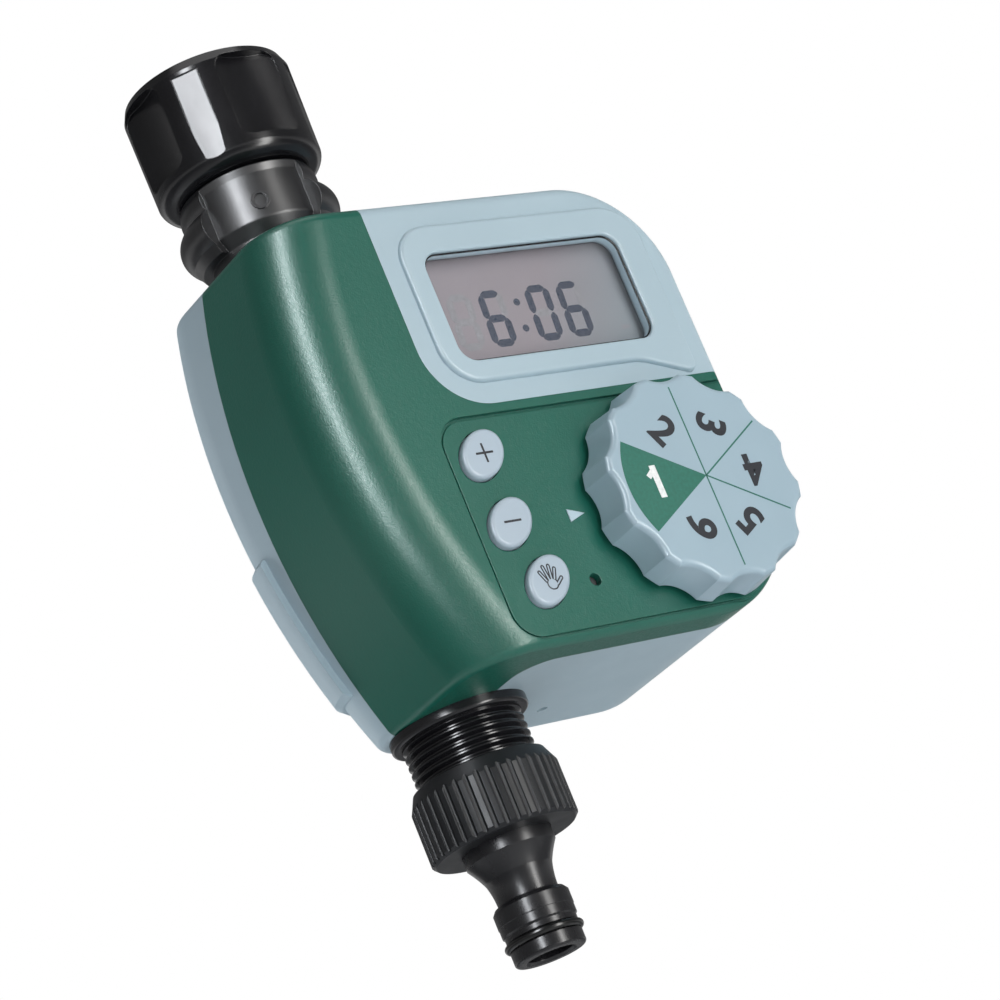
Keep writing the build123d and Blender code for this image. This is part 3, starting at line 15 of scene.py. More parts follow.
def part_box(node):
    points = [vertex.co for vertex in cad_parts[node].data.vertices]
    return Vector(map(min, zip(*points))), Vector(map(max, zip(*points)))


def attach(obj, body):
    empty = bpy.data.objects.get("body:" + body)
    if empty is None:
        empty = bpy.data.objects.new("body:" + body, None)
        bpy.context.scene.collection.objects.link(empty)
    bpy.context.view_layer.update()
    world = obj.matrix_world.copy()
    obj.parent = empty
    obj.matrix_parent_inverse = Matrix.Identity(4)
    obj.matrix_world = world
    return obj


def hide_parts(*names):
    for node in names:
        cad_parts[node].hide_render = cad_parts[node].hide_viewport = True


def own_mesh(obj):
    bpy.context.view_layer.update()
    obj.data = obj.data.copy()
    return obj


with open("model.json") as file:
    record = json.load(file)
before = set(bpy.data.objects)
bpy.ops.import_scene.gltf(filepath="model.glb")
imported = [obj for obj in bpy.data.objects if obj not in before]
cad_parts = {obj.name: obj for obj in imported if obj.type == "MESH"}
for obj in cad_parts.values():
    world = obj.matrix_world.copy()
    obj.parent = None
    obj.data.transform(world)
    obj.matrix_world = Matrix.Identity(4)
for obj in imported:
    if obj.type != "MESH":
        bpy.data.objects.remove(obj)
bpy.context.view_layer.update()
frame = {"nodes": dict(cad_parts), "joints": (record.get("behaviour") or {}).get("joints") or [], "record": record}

bl_info = {
    "name": "Watering timer",
    "version": (1, 0, 0),
    "blender": (4, 5, 0),
    "location": "3D View > Sidebar > Timer",
    "description": "Finishes, prints and fine pieces of a hose-tap watering timer",
    "category": "Object",
}

MM = 0.001
SEAM = 0.001 * MM                    # points closer than this are one point
FACING_FRONT = (pi / 2, 0, 0)        # a flat piece drawn in its own XY plane looks out of the front
BODY_OF = {node: body for body, nodes in frame["record"]["behaviour"]["bodies"].items() for node in nodes}

# Colours of the seals, the inside pieces and the white print.
BLACK_RUBBER = (0.012, 0.012, 0.012)
WET_RUBBER = (0.005, 0.005, 0.005)
PALE_RUBBER = (0.35, 0.35, 0.33)
CONTACT_RUBBER = (0.25, 0.24, 0.22)
PLATED_STEEL = (0.55, 0.55, 0.56)
VALVE_WHITE = (0.68, 0.68, 0.65)
FILTER_WHITE = (0.6, 0.6, 0.57)
PRINT_WHITE = (0.8, 0.82, 0.82)
LACQUER_GREEN = (0.01, 0.09, 0.03)
COPPER = (0.6, 0.22, 0.08)
CELL_RED = (0.35, 0.06, 0.04)
WIRE_RED = (0.3, 0.02, 0.02)


# ---- sizes and colours that a user would change ----

class TimerColours(bpy.types.PropertyGroup):
    """Colours of the timer's plastics and prints."""

    green: FloatVectorProperty(
        name="Cover green", description="Grained plastic of the front cover", subtype="COLOR",
        default=(0.009, 0.112, 0.079), min=0, max=1)
    shell: FloatVectorProperty(
        name="Shell grey-blue", description="Plastic of the bezel and the rear shell", subtype="COLOR",
        default=(0.40, 0.52, 0.585), min=0, max=1)
    knob: FloatVectorProperty(
        name="Knob grey-blue", description="Plastic of the selector knob", subtype="COLOR",
        default=(0.345, 0.465, 0.54), min=0, max=1)
    button: FloatVectorProperty(
        name="Button grey", description="Plastic of the push buttons", subtype="COLOR",
        default=(0.41, 0.50, 0.58), min=0, max=1)
    black: FloatVectorProperty(
        name="Fitting black", description="Polished plastic of the water fittings", subtype="COLOR",
        default=(0.008, 0.008, 0.0095), min=0, max=1)
    charcoal: FloatVectorProperty(
        name="Union nut charcoal", description="Satin plastic of the ridged outlet nut", subtype="COLOR",
        default=(0.013, 0.014, 0.016), min=0, max=1)
    display: FloatVectorProperty(
        name="Display grey", description="Unlit liquid crystal", subtype="COLOR",
        default=(0.405, 0.40, 0.43), min=0, max=1)
    display_ink: FloatVectorProperty(
        name="Display digits", description="Switched-on segments", subtype="COLOR",
        default=(0.065, 0.08, 0.125), min=0, max=1)
    ink: FloatVectorProperty(
        name="Ink", description="Dark print on the knob and the buttons", subtype="COLOR",
        default=(0.012, 0.014, 0.02), min=0, max=1)


class TimerSizes(bpy.types.PropertyGroup):
    """Sizes of the prints and of the fine pieces."""

    digit_height: FloatProperty(
        name="Digit height", description="Height of a display digit", subtype="DISTANCE", unit="LENGTH",
        default=13.4 * MM)
    digit_width: FloatProperty(
        name="Digit width", description="Width of a display digit", subtype="DISTANCE", unit="LENGTH",
        default=6.6 * MM)
    segment_width: FloatProperty(
        name="Segment width", description="Width of one display segment", subtype="DISTANCE", unit="LENGTH",
        default=1.75 * MM)
    print_height: FloatProperty(
        name="Print thickness", description="How far ink stands off its surface", subtype="DISTANCE",
        unit="LENGTH", default=0.03 * MM)
    dial_radius: FloatProperty(
        name="Dial print radius", description="Radius of the lines on the knob", subtype="DISTANCE",
        unit="LENGTH", default=20.96 * MM)
    line_width: FloatProperty(
        name="Line width", description="Width of the lines on the knob", subtype="DISTANCE", unit="LENGTH",
        default=0.34 * MM)
    number_height: FloatProperty(
        name="Number size", description="Type size of the numbers on the knob", subtype="DISTANCE",
        unit="LENGTH", default=10.0 * MM)
    number_weight: FloatProperty(
        name="Number weight", description="Extra thickness of the knob's numbers", subtype="DISTANCE",
        unit="LENGTH", default=0.3 * MM)
    thread_pitch: FloatProperty(
        name="Thread pitch", description="Rise of the tap thread in one turn", subtype="DISTANCE",
        unit="LENGTH", default=1.814 * MM)
    edge_radius: FloatProperty(
        name="Moulded edge", description="Rounding of the moulded edges", subtype="DISTANCE", unit="LENGTH",
        default=0.18 * MM)


class TimerStage(bpy.types.PropertyGroup):
    """Camera, lamps and floor."""

    azimuth: FloatProperty(
        name="Camera azimuth", description="Turn of the view about Z", subtype="ANGLE", unit="ROTATION",
        default=radians(-38.749))
    elevation: FloatProperty(
        name="Camera elevation", description="Height of the view", subtype="ANGLE", unit="ROTATION",
        default=radians(-16.886))
    roll: FloatProperty(
        name="Camera roll", description="Turn of the view about its own axis", subtype="ANGLE",
        unit="ROTATION", default=radians(-22.508))
    distance: FloatProperty(
        name="Camera distance", description="From the aim point", subtype="DISTANCE", unit="LENGTH",
        default=803.32 * MM)
    aim: FloatVectorProperty(
        name="Aim point", description="Middle of the view", subtype="XYZ", unit="LENGTH",
        default=(37.48 * MM, 5.561 * MM, -91.568 * MM))
    lens: FloatProperty(
        name="Lens", description="Focal length in mm", default=132.036, min=20, max=300)
    floor_drop: FloatProperty(
        name="Floor drop", description="Floor below the camera", subtype="DISTANCE", unit="LENGTH",
        default=400 * MM)
    ambient: FloatProperty(
        name="Room light", description="Light from all round", default=0.11, min=0, max=3)


# ---- working by hand: selecting, finishing ----

def begin():
    """Leave edit mode with nothing selected."""
    if bpy.context.object and bpy.context.object.mode != "OBJECT":
        bpy.ops.object.mode_set(mode="OBJECT")
    bpy.ops.object.select_all(action="DESELECT")


def edit(obj):
    """Open obj alone in edit mode."""
    begin()
    obj.select_set(True)
    bpy.context.view_layer.objects.active = obj
    bpy.ops.object.mode_set(mode="EDIT")


def pick(obj, kind, wanted):
    """Select those faces, edges or vertices of obj, open in edit mode, whose middle passes a test."""
    bpy.ops.mesh.select_mode(type=kind)
    bpy.ops.mesh.select_all(action="DESELECT")
    mesh = bmesh.from_edit_mesh(obj.data)
    parts = {"FACE": mesh.faces, "EDGE": mesh.edges, "VERT": mesh.verts}[kind]
    for part in parts:
        middle = part.co if kind == "VERT" else sum((v.co for v in part.verts), Vector()) / len(part.verts)
        if wanted(obj.matrix_world @ middle):
            part.select_set(True)
    mesh.select_flush_mode()
    bmesh.update_edit_mesh(obj.data)


def modify(obj, kind, **values):
    """Add a modifier and apply it."""
    begin()
    obj.select_set(True)
    bpy.context.view_layer.objects.active = obj
    modifier = obj.modifiers.new(kind.title(), kind)
    for name, value in values.items():
        setattr(modifier, name, value)
    bpy.ops.object.modifier_apply(modifier=modifier.name)


def combine(obj, other, operation):
    """Join another solid to obj, or cut it out of obj, and use it up."""
    modify(obj, "BOOLEAN", object=other, operation=operation, solver="EXACT")
    bpy.data.objects.remove(other)


def copy_of(obj):
    """A copy of obj with a mesh of its own."""
    double = obj.copy()
    double.data = obj.data.copy()
    bpy.context.scene.collection.objects.link(double)
    return double


def join(pieces):
    """Make one object of several."""
    begin()
    for piece in pieces:
        piece.select_set(True)
    bpy.context.view_layer.objects.active = pieces[0]
    bpy.ops.object.join()
    return pieces[0]


def settle(obj, name, finish, body):
    """Name a finished piece, place it in its mesh, give it its finish and its body."""
    sharpest_smooth_edge = radians(35)
    begin()
    obj.select_set(True)
    bpy.context.view_layer.objects.active = obj
    bpy.ops.object.transform_apply(location=True, rotation=True, scale=True)
    bpy.ops.object.shade_smooth_by_angle(angle=sharpest_smooth_edge)
    obj.name = name
    obj.data.name = name
    obj.data.materials.clear()
    obj.data.materials.append(finish)
    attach(obj, body)


def thicken(obj, depth):
    """Give a flat print its thickness, away from the surface that it lies on."""
    modify(obj, "SOLIDIFY", thickness=depth, offset=1.0)


# ---- finishes ----

def map_range(nodes, links, source, low, high, start, end):
    """Node whose result goes from low to high as the source goes from start to end."""
    scale = nodes.new("ShaderNodeMapRange")
    for socket, value in zip(("From Min", "From Max", "To Min", "To Max"), (start, end, low, high)):
        scale.inputs[socket].default_value = value
    links.new(source, scale.inputs["Value"])
    return scale


class Finish:
    """A procedural material, built node by node on Object coordinates."""

    def __init__(self, name, colour, roughness):
        self.material = bpy.data.materials.new(name)
        self.material.use_nodes = True
        self.nodes = self.material.node_tree.nodes
        self.links = self.material.node_tree.links
        self.shader = self.nodes["Principled BSDF"]
        self.shader.inputs["Base Color"].default_value = (*colour, 1)
        self.shader.inputs["Roughness"].default_value = roughness
        self.place = self.nodes.new("ShaderNodeTexCoord").outputs["Object"]

    def set(self, **values):
        """Set plain sockets of the shader, named with underscores for spaces."""
        for name, value in values.items():
            self.shader.inputs[name.replace("_", " ")].default_value = value

    def noise(self, size, detail=2.0, stretch=(1, 1, 1)):
        """Smooth random pattern whose features are about this size."""
        spread = self.nodes.new("ShaderNodeMapping")
        spread.inputs["Scale"].default_value = stretch
        self.links.new(self.place, spread.inputs["Vector"])
        texture = self.nodes.new("ShaderNodeTexNoise")
        texture.inputs["Scale"].default_value = 1 / size
        texture.inputs["Detail"].default_value = detail
        self.links.new(spread.outputs["Vector"], texture.inputs["Vector"])
        return texture.outputs["Fac"]

    def between(self, source, low, high, start=0.3, end=0.7):
        """Number from low to high as the source goes from start to end."""
        return map_range(self.nodes, self.links, source, low, high, start, end).outputs["Result"]

    def tint(self, source, first, second):
        """Colour from first to second as the source goes up."""
        ramp = self.nodes.new("ShaderNodeValToRGB")
        ramp.color_ramp.elements[0].position = 0.3
        ramp.color_ramp.elements[1].position = 0.7
        ramp.color_ramp.elements[0].color = (*first, 1)
        ramp.color_ramp.elements[1].color = (*second, 1)
        self.links.new(source, ramp.inputs["Fac"])
        self.links.new(ramp.outputs["Color"], self.shader.inputs["Base Color"])

    def gloss(self, source, low, high):
        """Roughness that follows a pattern."""
        self.links.new(self.between(source, low, high), self.shader.inputs["Roughness"])

    def relief(self, heights, edge=0.0):
        """Surface relief from pairs of pattern and depth, over softly rounded edges."""
        normal = None
        if edge:
            rounding = self.nodes.new("ShaderNodeBevel")
            rounding.samples = 6
            rounding.inputs["Radius"].default_value = edge
            normal = rounding.outputs["Normal"]
        for source, depth in heights:
            bump = self.nodes.new("ShaderNodeBump")
            bump.inputs["Strength"].default_value = 1.0
            bump.inputs["Distance"].default_value = depth
            self.links.new(source, bump.inputs["Height"])
            if normal:
                self.links.new(normal, bump.inputs["Normal"])
            normal = bump.outputs["Normal"]
        self.links.new(normal, self.shader.inputs["Normal"])


def shade(colour, factor):
    """The same colour, darker or lighter."""
    return tuple(min(1.0, part * factor) for part in colour)


def grained_plastic(name, colour, edge):
    """Hard plastic with a fine leather grain, half gloss on top of it."""
    finish = Finish(name, colour, 0.32)
    finish.set(Specular_IOR_Level=0.5)
    finish.tint(finish.noise(60 * MM, 3.0), shade(colour, 0.94), shade(colour, 1.06))
    finish.gloss(finish.noise(0.7 * MM), 0.28, 0.37)
    coarse = (finish.noise(0.8 * MM, 1.0), 0.022 * MM)
    fine = (finish.noise(0.36 * MM, 1.0), 0.026 * MM)
    finish.relief([coarse, fine], edge)
    return finish.material


def satin_plastic(name, colour, edge, roughness=0.36, depth=0.003 * MM, mirror=0.5):
    """Smooth moulded plastic with a silky surface."""
    finish = Finish(name, colour, roughness)
    finish.set(Specular_IOR_Level=mirror)
    finish.tint(finish.noise(45 * MM, 2.0), shade(colour, 0.975), shade(colour, 1.025))
    finish.gloss(finish.noise(7 * MM, 4.0), roughness - 0.04, roughness + 0.04)
    finish.relief([(finish.noise(0.25 * MM, 2.0), depth)], edge)
    return finish.material


def polished_plastic(name, colour, edge, roughness=0.13):
    """Gloss moulding with faint flow marks along the pipe."""
    finish = Finish(name, colour, roughness)
    finish.set(Specular_IOR_Level=0.45)
    finish.tint(finish.noise(20 * MM, 3.0), shade(colour, 0.8), shade(colour, 1.3))
    finish.gloss(finish.noise(6 * MM, 4.0, (1, 1, 0.3)), roughness - 0.03, roughness + 0.06)
    flow = (finish.noise(5 * MM, 2.0), 0.015 * MM)
    skin = (finish.noise(0.3 * MM, 2.0), 0.0008 * MM)
    finish.relief([flow, skin], edge)
    return finish.material


def brushed_metal(name, colour, roughness):
    """Plated metal with fine lines round it."""
    finish = Finish(name, colour, roughness)
    finish.set(Metallic=1.0)
    finish.gloss(finish.noise(0.5 * MM, 3.0, (1, 6, 1)), roughness - 0.06, roughness + 0.1)
    finish.relief([(finish.noise(0.12 * MM, 2.0, (1, 8, 1)), 0.002 * MM)])
    return finish.material


def soft_rubber(name, colour):
    """Matt rubber with a dusty bloom."""
    finish = Finish(name, colour, 0.7)
    finish.set(Specular_IOR_Level=0.35)
    finish.tint(finish.noise(3 * MM, 4.0), shade(colour, 0.85), shade(colour, 1.2))
    finish.gloss(finish.noise(1 * MM, 3.0), 0.6, 0.8)
    finish.relief([(finish.noise(0.3 * MM, 3.0), 0.01 * MM)])
    return finish.material


def winding(name, colour):
    """Enamelled wire in close turns."""
    finish = Finish(name, colour, 0.3)
    finish.set(Metallic=0.8)
    band = 1.6 * MM
    bands = finish.nodes.new("ShaderNodeTexWave")
    bands.bands_direction = "Y"
    bands.inputs["Scale"].default_value = 1 / band
    finish.links.new(finish.place, bands.inputs["Vector"])
    finish.tint(bands.outputs["Fac"], shade(colour, 0.5), colour)
    finish.relief([(bands.outputs["Fac"], 0.05 * MM)])
    return finish.material


def solder_mask(name, colour):
    """Green lacquer of a circuit board, with its copper tracks showing through."""
    finish = Finish(name, colour, 0.28)
    spacing = 9 * MM
    tracks = finish.nodes.new("ShaderNodeTexBrick")
    tracks.inputs["Scale"].default_value = 1 / spacing
    tracks.inputs["Mortar Size"].default_value = 0.03
    finish.links.new(finish.place, tracks.inputs["Vector"])
    finish.tint(tracks.outputs["Fac"], colour, shade(colour, 1.9))
    finish.relief([(tracks.outputs["Fac"], 0.03 * MM), (finish.noise(1 * MM), 0.004 * MM)])
    return finish.material


def liquid_crystal(name, colour):
    """Grey display glass whose hue drifts from rosy at the top left to bluish at the bottom right."""
    finish = Finish(name, colour, 0.22)
    finish.set(Specular_IOR_Level=0.1)
    fall = radians(30)
    length = 62 * MM
    drift = finish.nodes.new("ShaderNodeTexGradient")
    spread = finish.nodes.new("ShaderNodeMapping")
    spread.vector_type = "TEXTURE"
    spread.inputs["Location"].default_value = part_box("lcd_glass")[0]
    spread.inputs["Rotation"].default_value = (0, fall, 0)
    spread.inputs["Scale"].default_value = (length, length, length)
    finish.links.new(finish.place, spread.inputs["Vector"])
    finish.links.new(spread.outputs["Vector"], drift.inputs["Vector"])
    rosy = (colour[0] * 1.06, colour[1] * 0.97, colour[2] * 0.98)
    bluish = (colour[0] * 0.9, colour[1] * 1.05, colour[2] * 1.06)
    finish.tint(drift.outputs["Fac"], rosy, bluish)
    finish.gloss(finish.noise(12 * MM, 3.0), 0.18, 0.28)
    finish.relief([(finish.noise(0.5 * MM, 1.0), 0.001 * MM)])
    return finish.material


def clear_plastic(name):
    """Thin clear window: mostly see-through, with its own gloss."""
    finish = Finish(name, (0.2, 0.21, 0.22), 0.05)
    finish.set(Alpha=0.1, Specular_IOR_Level=0.4)
    finish.gloss(finish.noise(15 * MM, 2.0), 0.03, 0.07)
    finish.relief([(finish.noise(20 * MM, 1.0), 0.02 * MM)])
    return finish.material


def window_wall_painted_light(name, dark, pale, lip, wall):
    """Gloss wall of the display window, dark at its front lip and paler from there inwards; the paler tone is
    painted light on the wall.
    """
    finish = Finish(name, pale, 0.12)
    inwards = (1, 0.2, 1)                # draws the pattern out along Y
    depth = finish.nodes.new("ShaderNodeSeparateXYZ")
    finish.links.new(finish.place, depth.inputs[0])
    finish.tint(finish.between(depth.outputs["Y"], 0, 1, lip, wall), dark, pale)
    finish.gloss(finish.noise(3 * MM, 2.0, inwards), 0.08, 0.2)
    finish.relief([(finish.noise(2 * MM, 2.0, inwards), 0.01 * MM)])
    return finish.material


def printed_ink(name, colour, roughness=0.45):
    """Screen print, slightly uneven."""
    finish = Finish(name, colour, roughness)
    finish.tint(finish.noise(0.8 * MM, 3.0), shade(colour, 0.9), shade(colour, 1.12))
    finish.gloss(finish.noise(0.5 * MM), roughness - 0.05, roughness + 0.05)
    finish.relief([(finish.noise(0.12 * MM, 2.0), 0.002 * MM)])
    return finish.material


def cell_sleeve(name, colour):
    """Printed foil sleeve of a battery cell, in uneven bands across its length."""
    finish = Finish(name, colour, 0.3)
    finish.set(Metallic=0.5)
    finish.tint(finish.noise(9 * MM, 1.0, (1, 0.1, 0.1)), shade(colour, 0.5), shade(colour, 1.4))
    finish.relief([(finish.noise(2 * MM), 0.01 * MM)])
    return finish.material


def dress(nodes, finish):
    """Give CAD nodes a finish."""
    for node in nodes:
        slots = frame["nodes"][node].data.materials
        slots.clear()
        slots.append(finish)


# ---- operators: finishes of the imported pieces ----

class TIMER_OT_finish_case(bpy.types.Operator):
    """Grained green cover, satin grey-blue shells, knob and buttons"""

    bl_idname = "timer.finish_case"
    bl_label = "Case finishes"

    def execute(self, context):
        colours = context.scene.timer_colours
        edge = context.scene.timer_sizes.edge_radius
        dress(["front_cover"], grained_plastic("green_grain", colours.green, 1.6 * edge))
        shell = satin_plastic("shell_satin", colours.shell, 1.3 * edge, roughness=0.36)
        dress(["display_bezel", "rear_shell", "battery_door"], shell)
        dress(["selector_knob"], satin_plastic("knob_satin", colours.knob, edge, roughness=0.33))
        button = satin_plastic("button_satin", colours.button, edge, roughness=0.4, depth=0.006 * MM)
        dress(["plus_button", "minus_button", "manual_button"], button)
        marker = satin_plastic("marker_satin", shade(colours.shell, 1.1), edge, roughness=0.4)
        dress(["arrow_marker"], marker)
        dress(["reset_pin"], satin_plastic("reset_dark", colours.charcoal, 0, roughness=0.5))
        return {"FINISHED"}


class TIMER_OT_finish_fittings(bpy.types.Operator):
    """Polished black water fittings, satin charcoal union nut, rubber seals"""

    bl_idname = "timer.finish_fittings"
    bl_label = "Fitting finishes"

    def execute(self, context):
        colours = context.scene.timer_colours
        edge = context.scene.timer_sizes.edge_radius
        thread_edge = 0.08 * MM
        ridge_edge = 0.16 * MM
        nut = polished_plastic("nut_gloss", colours.black, 1.6 * edge, roughness=0.19)
        dress(["inlet_nut"], nut)
        pipe = polished_plastic("fitting_gloss", colours.black, edge, roughness=0.26)
        dress(["inlet_tailpiece", "outlet_nipple"], pipe)
        collar = satin_plastic(
            "collar_satin", colours.black, edge, roughness=0.35, depth=0.002 * MM, mirror=0.85)
        dress(["inlet_collar"], collar)
        thread = polished_plastic("thread_gloss", colours.black, thread_edge, roughness=0.2)
        dress(["valve_body", "outlet_ring"], thread)
        union = satin_plastic(
            "union_satin", colours.charcoal, ridge_edge, roughness=0.36, depth=0.004 * MM, mirror=0.25)
        dress(["outlet_nut"], union)
        rubber = soft_rubber("black_rubber", BLACK_RUBBER)
        dress(["inlet_washer", "neck_seal", "outlet_washer", "shaft_seal", "diaphragm"], rubber)
        dress(["nipple_o_ring"], polished_plastic("wet_rubber", WET_RUBBER, 0, roughness=0.22))
        return {"FINISHED"}


class TIMER_OT_finish_display(bpy.types.Operator):
    """Display glass, its frame and the clear window in front of it"""

    bl_idname = "timer.finish_display"
    bl_label = "Display finishes"

    def execute(self, context):
        colours = context.scene.timer_colours
        dress(["lcd_glass"], liquid_crystal("display_grey", colours.display))
        dress(["display_lens"], clear_plastic("clear_window"))
        dress(["lcd_frame"], satin_plastic("frame_dark", colours.charcoal, 0, roughness=0.5))
        dress(["zebra_strips"], soft_rubber("contact_rubber", CONTACT_RUBBER))
        return {"FINISHED"}


class TIMER_OT_finish_inside(bpy.types.Operator):
    """Board, battery and valve parts inside the case"""

    bl_idname = "timer.finish_inside"
    bl_label = "Inside finishes"

    def execute(self, context):
        colours = context.scene.timer_colours
        steel = brushed_metal("plated_steel", PLATED_STEEL, roughness=0.3)
        white = satin_plastic("valve_white", VALVE_WHITE, 0, roughness=0.45)
        dark = satin_plastic("inside_dark", colours.charcoal, 0, roughness=0.5)
        dress(["case_screws", "battery_contacts", "bonnet_screws", "solenoid_can", "solenoid_plunger"], steel)
        dress(["poppet_spring", "plunger_spring"], steel)
        dress(["valve_poppet", "valve_bonnet", "core_tube", "selector_shaft", "inlet_filter"], white)
        dress(["battery_tray", "board_parts", "key_switches", "selector_switch"], dark)
        dress(["door_gasket", "key_mat"], soft_rubber("pale_rubber", PALE_RUBBER))
        dress(["circuit_board"], solder_mask("solder_mask", LACQUER_GREEN))
        dress(["solenoid_coil"], winding("copper_winding", COPPER))
        dress(["battery_upper", "battery_lower"], cell_sleeve("cell_sleeve", CELL_RED))
        dress(["solenoid_leads", "battery_leads"], soft_rubber("red_insulation", WIRE_RED))
        return {"FINISHED"}


# ---- operators: prints and fine pieces ----

def segment_bar(length, width):
    """One flat display segment with narrowed ends, in the XZ plane round the origin."""
    tip = 0.3                            # width of its ends, as a share of its own
    begin()
    bpy.ops.mesh.primitive_plane_add(size=width, rotation=FACING_FRONT)
    bar = bpy.context.object
    edit(bar)
    reach = length / 2 - width / 2
    for side in (-1, 1):
        pick(bar, "EDGE", lambda p: p.x * side > width * 0.4)
        bpy.ops.transform.translate(value=(side * (reach - width / 2), 0, 0))
        bpy.ops.mesh.extrude_region_move(TRANSFORM_OT_translate={"value": (side * width / 2, 0, 0)})
        bpy.ops.transform.resize(value=(1, 1, tip))
    bpy.ops.object.mode_set(mode="OBJECT")
    return bar


def digit(bars, names, place, sizes):
    """Copies of the named segments of one digit, round its middle."""
    across = sizes.digit_width - sizes.segment_width
    up = sizes.digit_height - sizes.segment_width
    middles = {                          # across, up, and whether the segment stands upright
        "a": (0, up / 2, 0), "g": (0, 0, 0), "d": (0, -up / 2, 0),
        "f": (-across / 2, up / 4, 1), "b": (across / 2, up / 4, 1),
        "e": (-across / 2, -up / 4, 1), "c": (across / 2, -up / 4, 1),
    }
    made = []
    for name in names:
        x, z, upright = middles[name]
        bar = copy_of(bars[upright])
        bar.location = (place + x, 0, z)
        bar.rotation_euler = (pi / 2, pi / 2 * upright, 0)
        made.append(bar)
    return made


class TIMER_OT_display_digits(bpy.types.Operator):
    """Lit and unlit segments of the clock display"""

    bl_idname = "timer.display_digits"
    bl_label = "Display digits"

    # Places on the display: x in the frame, and height from the middle of the digits.
    MIDDLE_Z = -66.05 * MM
    SEGMENTS = "abcdefg"
    DIGITS = (                           # x of each digit's middle, and its lit segments
        (16.0 * MM, ""), (24.4 * MM, "acdefg"), (36.9 * MM, "abcdef"), (45.4 * MM, "acdefg"))
    COLON_X = 30.9 * MM
    COLON_HEIGHTS = (3.25 * MM, -3.05 * MM)
    COLON_RADIUS = 0.85 * MM
    DASH_X = 57.2 * MM
    DASH_HEIGHT = -5.75 * MM
    DASH_SIZE = (2.4 * MM, 0.9 * MM)
    DASH_CORNER = 0.3 * MM
    GAP = 0.35 * MM                      # between neighbouring segments
    LEAN = radians(4)

    def execute(self, context):
        sizes = context.scene.timer_sizes
        colours = context.scene.timer_colours
        across = sizes.digit_width - sizes.segment_width
        up = sizes.digit_height - sizes.segment_width
        level = segment_bar(across - self.GAP, sizes.segment_width)
        upright = segment_bar(up / 2 - self.GAP, sizes.segment_width)
        lit, unlit = [], []
        for place, names in self.DIGITS:
            lit += digit((level, upright), names, place, sizes)
            unlit += digit((level, upright), sorted(set(self.SEGMENTS) - set(names)), place, sizes)
        for height in self.COLON_HEIGHTS:
            lit.append(self.dot(height))
        unlit.append(self.dash())
        ghost = shade(colours.display, 0.92)
        slant = Matrix(((1, 0, sin(self.LEAN), 0), (0, 1, 0, 0), (0, 0, 1, 0), (0, 0, 0, 1)))
        for pieces, name, colour in ((lit, "lcd_digits", colours.display_ink), (unlit, "lcd_unlit", ghost)):
            flat = join(pieces)
            bpy.ops.object.transform_apply(location=True, rotation=True, scale=True)
            flat.data.transform(slant)
            flat.location = (0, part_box("lcd_glass")[0].y, self.MIDDLE_Z)
            thicken(flat, sizes.print_height)
            settle(flat, name, printed_ink(name + "_ink", colour, 0.3), "case")
        for bar in (level, upright):
            bpy.data.objects.remove(bar)
        return {"FINISHED"}

    def dot(self, height):
        """One dot of the colon."""
        begin()
        bpy.ops.mesh.primitive_circle_add(
            vertices=24, radius=self.COLON_RADIUS, fill_type="NGON", rotation=FACING_FRONT,
            location=(self.COLON_X, 0, height))
        return bpy.context.object

    def dash(self):
        """Short mark at the lower right of the display."""
        begin()
        bpy.ops.mesh.primitive_plane_add(
            size=1, rotation=FACING_FRONT, location=(self.DASH_X, 0, self.DASH_HEIGHT))
        mark = bpy.context.object
        edit(mark)
        bpy.ops.transform.resize(value=(self.DASH_SIZE[0], 1, self.DASH_SIZE[1]))
        bpy.ops.mesh.bevel(offset=self.DASH_CORNER, affect="VERTICES", segments=3)
        return mark


class TIMER_OT_window_mask(bpy.types.Operator):
    """Lining of the display window, from its front lip back to the clear plastic, with painted light on its inner
    wall
    """

    bl_idname = "timer.window_mask"
    bl_label = "Window lining"

    def execute(self, context):
        colours = context.scene.timer_colours
        left, right, top, bottom = 7.8 * MM, 59.9 * MM, -51.5 * MM, -77.1 * MM
        corner = 4.0 * MM
        wall = 0.3 * MM
        rounding = 0.08 * MM
        play = 0.02 * MM                 # to the bezel and to the clear plastic
        lip_depth = 0.75 * MM
        dark_depth = 0.8 * MM            # from the lip to where the wall is pale
        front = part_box("display_bezel")[0].y + lip_depth
        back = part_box("display_lens")[0].y - play
        begin()
        bpy.ops.mesh.primitive_plane_add(
            size=1, rotation=FACING_FRONT, location=((left + right) / 2, front, (top + bottom) / 2))
        mask = context.object
        edit(mask)
        bpy.ops.transform.resize(value=(right - left - play, 1, top - bottom - play))
        bpy.ops.mesh.bevel(offset=corner, affect="VERTICES", segments=10)
        bpy.ops.mesh.select_all(action="SELECT")
        bpy.ops.mesh.inset(thickness=wall, use_even_offset=True)
        bpy.ops.mesh.delete(type="FACE")
        bpy.ops.mesh.select_all(action="SELECT")
        bpy.ops.mesh.extrude_region_move(TRANSFORM_OT_translate={"value": (0, back - front, 0)})
        bpy.ops.mesh.select_all(action="SELECT")
        bpy.ops.mesh.normals_make_consistent(inside=False)
        bpy.ops.object.mode_set(mode="OBJECT")
        modify(mask, "BEVEL", width=rounding, segments=2, limit_method="ANGLE", angle_limit=radians(50))
        # painted light: the inner wall is a lighter copy of the shell colour, so that it looks lit
        pale = shade(colours.shell, 1.3)
        finish = window_wall_painted_light("window_wall_painted_light", colours.charcoal, pale, front, front + dark_depth)
        settle(mask, "window_lining_painted_light", finish, "case")
        return {"FINISHED"}


